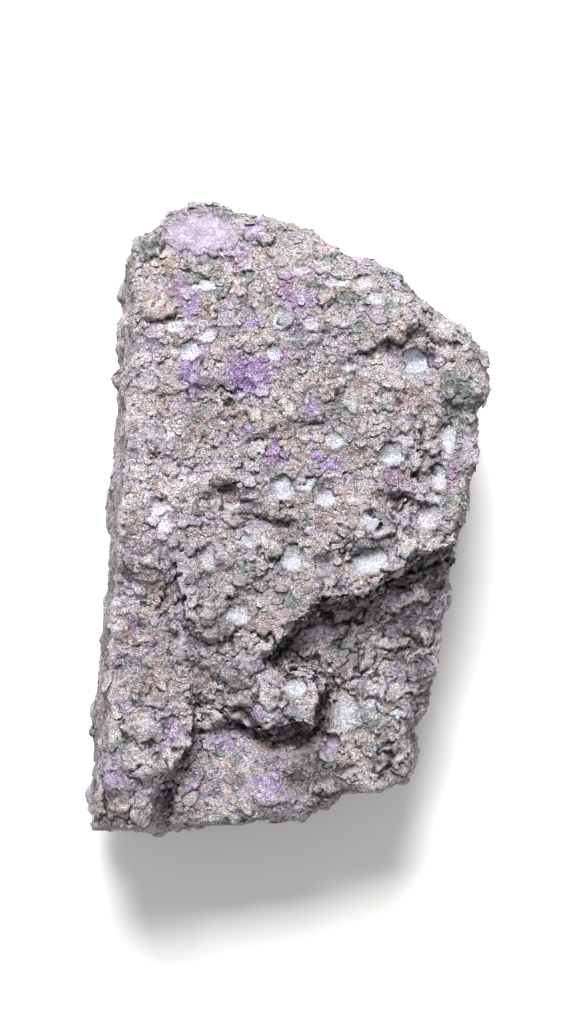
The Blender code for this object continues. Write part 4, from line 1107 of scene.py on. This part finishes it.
def flakeSpots(points, normals, fields, chance, onBack, count):
    # which points of the skin get a flake, and every point's radius for one
    level, height = flakes["face"]
    face = (normals[:, 2] > level) & (points[:, 2] > height)
    bare = flakes["barerCalm"] * np.clip(patchField(points[:, :2], calmPlaces), 0.0, 1.0) * face
    bare = np.maximum(bare, flakes["barerCrumbly"] * fields["crumbly"])
    bare = np.maximum(bare, flakes["barerBelow"] * lowerHalf(points) * face)
    allowed = (face != bool(onBack)) & (points[:, 2] > flakes["above"])
    for name, most in flakes["clearOf"].items():
        allowed &= fields[name] < most
    allowed &= chance.uniform(size=len(points)) > bare
    blur, start = flakes["clumpEdge"]
    clumps = ripple(points, flakes["clumps"], flakes["seed"])
    allowed &= clumps + chance.normal(size=len(points)) * blur > start
    least, size = flakes["radius"][0], np.ptp(flakes["radius"])
    radii = least + size * chance.uniform(size=len(points)) ** flakes["small"]
    return chooseSpots(points, radii, chance.permutation(np.nonzero(allowed)[0]), count), radii


def makeFlakes(name, skin, fields, onBack, count):
    chance = np.random.default_rng(flakes["seed"] + onBack)
    shapes = flakeShapes(chance)
    points, normals = pointsOf(skin.data), softNormals(skin.data, normalsOf(skin.data))
    chosen, radii = flakeSpots(points, normals, fields, chance, onBack, count)
    up = np.array([0.0, 1.0, 0.0]) - normals[chosen] * normals[chosen, 1:2]
    up /= np.linalg.norm(up, axis=1)[:, None] + 1e-6
    places, corners, owners = [], [], []
    total = 0
    for number, index in enumerate(chosen):
        shape, faces = shapes[chance.integers(len(shapes))]
        lean = chance.uniform(*flakes["lift"]) * (1.0 - flakes["backFlatter"] * onBack)
        normal = normals[index] + up[number] * lean + chance.normal(size=3) * flakes["wobble"]
        normal /= np.linalg.norm(normal)
        turn = chance.uniform(-flakes["turn"], flakes["turn"])
        side = np.cross(up[number], normal)
        side /= np.linalg.norm(side) + 1e-6
        along = np.cross(normal, side)
        wide = side * np.cos(turn) + along * np.sin(turn)
        high = along * np.cos(turn) - side * np.sin(turn)
        radius = radii[index]
        local = shape * radius * np.array([flakes["wide"], chance.uniform(*flakes["high"]), 1.0])
        sunk = radius * (chance.uniform(*flakes["sink"]) - flakes["backSunk"] * onBack)
        places.append(points[index] + local @ np.stack([wide, high, normal]) + normals[index] * sunk)
        corners.append(faces + total)
        owners.append(np.full(len(shape), number))
        total += len(shape)
    places, corners, owners = np.concatenate(places), np.concatenate(corners), np.concatenate(owners)
    made = bpy.data.meshes.new(name)
    made.from_pydata((places * mm).tolist(), [], corners.tolist())
    piece = bpy.data.objects.new(name, made)
    bpy.context.scene.collection.objects.link(piece)
    storeFields(made, {field: values[chosen][owners] for field, values in fields.items()})
    storeFlakeTones(made, chance, len(chosen), owners, places)
    made.shade_smooth()
    print(name, "has", len(chosen), "flakes and", len(made.polygons), "triangles")
    return piece


def storeFlakeTones(mesh, chance, count, owners, places):
    # each flake's own random tones, a mark that it is a flake, and its place in the rock's pattern
    tones = mesh.attributes.new("flakeTone", "FLOAT_COLOR", "POINT")
    values = np.concatenate([chance.uniform(size=(count, 3))[owners], np.ones((len(owners), 1))], axis=1)
    tones.data.foreach_set("color", values.astype(np.float32).ravel())
    chip = mesh.attributes.new("chip", "FLOAT", "POINT")
    chip.data.foreach_set("value", np.ones(len(places), np.float32))
    rest = mesh.attributes.new("rest", "FLOAT_VECTOR", "POINT")
    rest.data.foreach_set("vector", places.astype(np.float32).ravel())


skin = roundedCopy()
print("solid rounded:", len(skin.data.vertices), "points")
sharpenSteps(skin)
carveFace(skin)
setReach(skin)
displace(skin)
thinOut(skin)
fields = paintFields(skin.data)
storeFields(skin.data, fields)
skin.data.shade_smooth()
print("stone carved")
faceFlakes = makeFlakes("sugilite_flakes", skin, fields, 0, flakes["faceCount"])
backFlakes = makeFlakes("sugilite_flakes_back", skin, fields, 1, flakes["backCount"])


# the rock's colours
rockTones = dict(
    dark=tone(60, 57, 61),
    middle=tone(132, 127, 132),
    # light: the paler grey of the rock, also laid on as painted highlight
    light=tone(204, 199, 203),
    # crack: the dark of cracks, also laid on as painted shade
    crack=tone(34, 31, 33),
    violet=tone(162, 116, 182),
    magenta=tone(172, 106, 152),
    lilac=tone(182, 162, 198),
    blue=tone(178, 156, 208),
    white=tone(194, 197, 209),
    cream=tone(214, 204, 194),
    peach=tone(190, 146, 134),
    green=tone(96, 114, 108),
)


# finish: how those colours lie over each other; scales are bumps or cells per mm, the rest runs from 0 to 1
finish = dict(
    noises=dict(  # scale, detail, roughness
        broad=(0.22, 3.0), fine=(6.4, 1.5, 0.6), crack=(1.3, 3.0), rough=(1.1, 3.0), micro=(7.0, 1.5, 0.6),
    ),
    shade=dict(start=0.72, calm=-0.35, grain=2.8, scale=0.6, flake=0.34, broad=0.7),  # how pale the grey is
    middleGrey=(-0.35, 0.5), lightGrey=(0.45, 1.25),  # from, to
    calmFrom=(0.5, 1.0),
    calmer=-0.75,  # how much of grain and cracks the calm places lose
    scaleTints=[  # random number, from, to, colour, cover
        (1, 0.70, 0.84, "cream", 0.40), (1, 0.32, 0.18, "green", 0.40),
        (2, 0.72, 0.84, "peach", 0.34), (2, 0.34, 0.18, "lilac", 0.38),
    ],
    stretch=(0.27, 3.0, 0.6),
    stretchTints=[
        (0, 0.52, 0.62, "cream", 0.46), (0, 0.46, 0.36, "green", 0.36),
        (1, 0.53, 0.64, "peach", 0.32), (1, 0.46, 0.35, "lilac", 0.36),
    ],
    dimpleTints=[(0.0, 0.02, "white", 0.5), (0.4, 0.42, "cream", 0.5), (0.7, 0.72, "lilac", 0.45)],
    beads=(2.6, 0.3, 0.9),  # cells that a pigment turns paler in, from, to
    speckle=(1.2, 0.55),
    pigmentEdge=(0.25, 0.75), pigmentFrom=(0.0, 0.2),
    pigments=[  # how fine the speckles are, how broken up, cover, colour of the paler beads
        ("cream", 1.4, 2.0, 0.66, "white"), ("peach", 1.8, 1.8, 0.75, "cream"),
        ("green", 1.3, 1.8, 0.8, "green"), ("lilac", 1.7, 1.4, 0.72, "lilac"),
        ("magenta", 2.5, 2.2, 0.7, "lilac"), ("violet", 2.3, 2.4, 0.8, "blue"),
        ("white", 2.8, 1.2, 0.88, "white"),
    ],
    creases=[(1.1, 0.050, 1.0), (2.1, 0.070, 0.9), (3.8, 0.085, 0.6)],  # scale, width, strength
    whiteCreases=(0.3, 0.8, 1.0, 0.6),  # they are weaker on white
    crease=0.72, crack=0.9, outline=0.9, rim=0.34, calm=0.34,  # cover; crease, crack and outline lay painted shade, rim lays painted highlight
    whiteCracks=(0.7, 0.2),  # no cracks on white
    crackedFrom=(0.38, 0.58),
    # painted shade in hollows, grooves and dark places, and painted highlight on what stands proud:
    hollow=(0.12, 1.05, 0.0, 0.42),  # from, to, least and most cover, and so on
    groove=(0.45, 1.15, 0.0, 0.54),
    dark=(0.1, 1.1, 0.0, 0.62),
    proudHighlight=(-0.05, -0.5, 0.0, 0.35),
    outlineWidth=0.10, outlineWaves=0.10, outlineEdge=(-0.03, 0.03),  # mm
    outlineFrom=(0.15, 0.55),
    roughness=(0.3, 0.7, 0.72, 0.95),
    specular=0.35,
    bump=dict(micro=0.40, crease=-0.12),  # mm
)


def pigmentGroup():
    # a pigment over what is under it, broken up by noise: Field is its strength at the place
    group, given, result = newGroup(
        "pigmentOver", "ShaderNodeTree",
        [("Under", "NodeSocketColor"), ("Pigment", "NodeSocketColor"), ("Field", "NodeSocketFloat"),
         ("Place", "NodeSocketVector"), ("Speckle", "NodeSocketFloat"), ("Break", "NodeSocketFloat"),
         ("Cover", "NodeSocketFloat")],
        [("Colour", "NodeSocketColor")],
    )
    under, pigment, field, place, fineness, broken, cover = given.outputs[:7]
    speckle = noiseAt(group, place, fineness, *finish["speckle"])
    level = calc(group, "ADD", calc(group, "MULTIPLY", calc(group, "SUBTRACT", speckle, 0.5), broken), field)
    mask = calc(group, "MULTIPLY", band(group, level, *finish["pigmentEdge"]), cover)
    mask = calc(group, "MULTIPLY", mask, band(group, field, *finish["pigmentFrom"]))
    put(group, mixColour(group, mask, under, pigment), result.inputs["Colour"])
    return group


def rockMaterial():
    made = bpy.data.materials.new("sugilite_rock_finish")
    made.use_nodes = True
    tree = made.node_tree
    surface = tree.nodes["Principled BSDF"]

    def read(name, output):
        return addNode(tree, "ShaderNodeAttribute", attribute_name=name).outputs[output]

    def noise(name):
        return noiseAt(tree, rest, *finish["noises"][name])

    def times(*values):
        return calc(tree, "MULTIPLY", *values)

    def centred(value):
        return calc(tree, "SUBTRACT", value, 0.5)

    def addTimes(value, factor, base):
        return calc(tree, "MULTIPLY_ADD", value, factor, base)

    def parts(value):
        return addNode(tree, "ShaderNodeSeparateColor", {"Color": value}).outputs

    def cover(mask, colour, name):
        return mixColour(tree, mask, colour, rockTones[name])

    rest = read("rest", "Vector")
    layers = {}
    for layer, names in fieldLayers.items():
        layers.update(zip(names, parts(read(layer, "Color"))))
    pattern = addNode(tree, "ShaderNodeGroup")
    pattern.node_tree = buildScales("scalesColour", "ShaderNodeTree")
    put(tree, rest, pattern.inputs["Place"])
    chip = read("chip", "Fac")
    onSkin = calc(tree, "SUBTRACT", 1.0, chip)
    tint = parts(mixColour(tree, chip, pattern.outputs["Tint"], read("flakeTone", "Color")))
    flake, spot = parts(pattern.outputs["Flake"]), parts(pattern.outputs["Spot"])

    # grey rock, mottled at three sizes and different on each scale
    share = finish["shade"]
    fine = noise("fine")
    calm = band(tree, layers["calm"], *finish["calmFrom"])
    rougher = addTimes(calm, finish["calmer"], 1.0)
    shade = addTimes(calm, share["calm"], share["start"])
    shade = addTimes(times(centred(fine), rougher), share["grain"], shade)
    shade = addTimes(centred(tint[0]), share["scale"], shade)
    shade = addTimes(centred(flake[0]), share["flake"], shade)
    shade = addTimes(centred(noise("broad")), share["broad"], shade)
    colour = cover(band(tree, shade, *finish["middleGrey"]), rockTones["dark"], "middle")
    colour = cover(band(tree, shade, *finish["lightGrey"]), colour, "light")

    # each scale leans to cream, pink, green or mauve, and so do whole stretches
    for channel, low, high, name, most in finish["scaleTints"]:
        colour = cover(times(band(tree, tint[channel], low, high), most), colour, name)
    wide = parts(noiseAt(tree, rest, *finish["stretch"], out=1))
    for channel, low, high, name, most in finish["stretchTints"]:
        colour = cover(band(tree, wide[channel], low, high, 0.0, most), colour, name)

    # dimple floors are paler: pearly, cream or lilac
    for low, high, name, most in finish["dimpleTints"]:
        chosen = times(band(tree, spot[2], low, high), most)
        colour = cover(times(times(pattern.outputs["Dimple"], onSkin), chosen), colour, name)

    # pigments, each paler in some of its beads
    over = pigmentGroup()
    size, low, high = finish["beads"]
    bead = addNode(tree, "ShaderNodeTexVoronoi", {"Vector": rest, "Scale": size}).outputs["Color"]
    paleBead = parts(bead)[0]
    for name, speckle, broken, most, paler in finish["pigments"]:
        pigment = mixColour(tree, band(tree, paleBead, low, high), rockTones[name], rockTones[paler])
        laid = addNode(tree, "ShaderNodeGroup")
        laid.node_tree = over
        for label, value in [("Under", colour), ("Pigment", pigment), ("Field", layers[name]),
                             ("Place", rest), ("Speckle", speckle), ("Break", broken), ("Cover", most)]:
            put(tree, value, laid.inputs[label])
        colour = laid.outputs["Colour"]

    # paler and darker stretches: partly the rock's own tone, partly painted light and painted shade
    colour = calcVector(tree, "SCALE", colour, calc(tree, "ADD", layers["tone"], 1.0))

    # creases: fine curved lines, dented in the bump and darkened as painted shade
    crease = 0.0
    for size, width, depth in finish["creases"]:
        line = calc(tree, "ABSOLUTE", centred(noiseAt(tree, rest, size, 1.0, 0.6)))
        crease = calc(tree, "MAXIMUM", crease, band(tree, line, 0.0, width, depth, 0.0))
    crease = times(crease, times(rougher, band(tree, layers["white"], *finish["whiteCreases"])))
    colour = cover(times(crease, finish["crease"]), colour, "crack")

    # painted shade: the cracks on each scale's lower side, hollows, grooves and the dark places of the face
    # are darkened; the dark patches on the sides are the rock's own tone
    crackNoise = band(tree, noise("crack"), *finish["crackedFrom"])
    crack = times(times(pattern.outputs["Crack"], crackNoise), onSkin)
    crack = times(crack, times(rougher, band(tree, layers["white"], *finish["whiteCracks"])))
    colour = cover(times(crack, finish["crack"]), colour, "crack")
    colour = cover(band(tree, layers["hollow"], *finish["hollow"]), colour, "crack")
    colour = cover(band(tree, addTimes(fine, 0.5, layers["groove"]), *finish["groove"]), colour, "crack")
    colour = cover(band(tree, layers["dark"], *finish["dark"]), colour, "crack")

    # the lines along ledges, lumps and pits, of a wavering width: painted shade in the ledges' cracks, under
    # lumps and at the pits' upper rims
    width = addTimes(centred(crackNoise), finish["outlineWaves"], finish["outlineWidth"])
    outline = calc(tree, "SUBTRACT", width, calc(tree, "ABSOLUTE", layers["line"]))
    there = band(tree, layers["outline"], *finish["outlineFrom"])
    outline = times(times(band(tree, outline, *finish["outlineEdge"]), there), onSkin)
    colour = cover(times(outline, finish["outline"]), colour, "crack")

    # painted highlight: what stands proud and the rims on the scales' lower side are paler; calm places are
    # evener
    colour = cover(band(tree, layers["hollow"], *finish["proudHighlight"]), colour, "light")
    colour = cover(times(pattern.outputs["Rim"], finish["rim"]), colour, "light")
    colour = cover(times(calm, finish["calm"]), colour, "middle")
    put(tree, colour, surface.inputs["Base Color"])

    put(tree, band(tree, noise("rough"), *finish["roughness"]), surface.inputs["Roughness"])
    micro = times(centred(noise("micro")), rougher)
    height = addTimes(micro, finish["bump"]["micro"], pattern.outputs["Fine"])
    height = addTimes(crease, finish["bump"]["crease"], height)
    bump = addNode(tree, "ShaderNodeBump", {"Height": height, "Strength": 1.0, "Distance": mm})
    put(tree, bump.outputs[0], surface.inputs["Normal"])
    surface.inputs["Metallic"].default_value = 0.0
    surface.inputs["Specular IOR Level"].default_value = finish["specular"]
    return made


rock = rockMaterial()
for piece in (skin, faceFlakes, backFlakes):
    piece.data.materials.clear()
    piece.data.materials.append(rock)
    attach(piece, stone["body"])
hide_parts(stone["node"])
print("stone finished")


# studio: pale floor, soft light from the top of the picture
studio = dict(
    floorTone=tone(214, 214, 212), floorRoughness=0.9,
    key=((-0.04, 0.31, 0.34), 0.20, 6.2),  # place, size in metres, power
    fill=((0.20, -0.30, 0.40), 0.40, 0.8),
    lookAt=(0.0, 0.0, 0.01),
    skyTone=(1.0, 1.0, 1.0, 1.0), sky=0.50,
)


def makeFloor():
    form = bmesh.new()
    bmesh.ops.create_grid(form, x_segments=1, y_segments=1, size=1.5)
    mesh = bpy.data.meshes.new("floor")
    form.to_mesh(mesh)
    form.free()
    floor = bpy.data.objects.new("floor", mesh)
    bpy.context.scene.collection.objects.link(floor)
    paint = bpy.data.materials.new("floor_paint")
    paint.use_nodes = True
    surface = paint.node_tree.nodes["Principled BSDF"]
    surface.inputs["Base Color"].default_value = studio["floorTone"]
    surface.inputs["Roughness"].default_value = studio["floorRoughness"]
    mesh.materials.append(paint)


def makeLight(name, place, size, power):
    lamp = bpy.data.objects.new(name, bpy.data.lights.new(name, "AREA"))
    bpy.context.scene.collection.objects.link(lamp)
    lamp.data.size = size
    lamp.data.energy = power
    lamp.location = place
    away = Vector(studio["lookAt"]) - Vector(place)
    lamp.rotation_euler = away.to_track_quat("-Z", "Y").to_euler()


makeFloor()
makeLight("key", *studio["key"])
makeLight("fill", *studio["fill"])
sky = bpy.data.worlds.new("sky")
bpy.context.scene.world = sky
sky.use_nodes = True
background = sky.node_tree.nodes["Background"]
background.inputs["Color"].default_value = studio["skyTone"]
background.inputs["Strength"].default_value = studio["sky"]
bpy.context.scene.view_settings.view_transform = "Standard"
print("studio set")
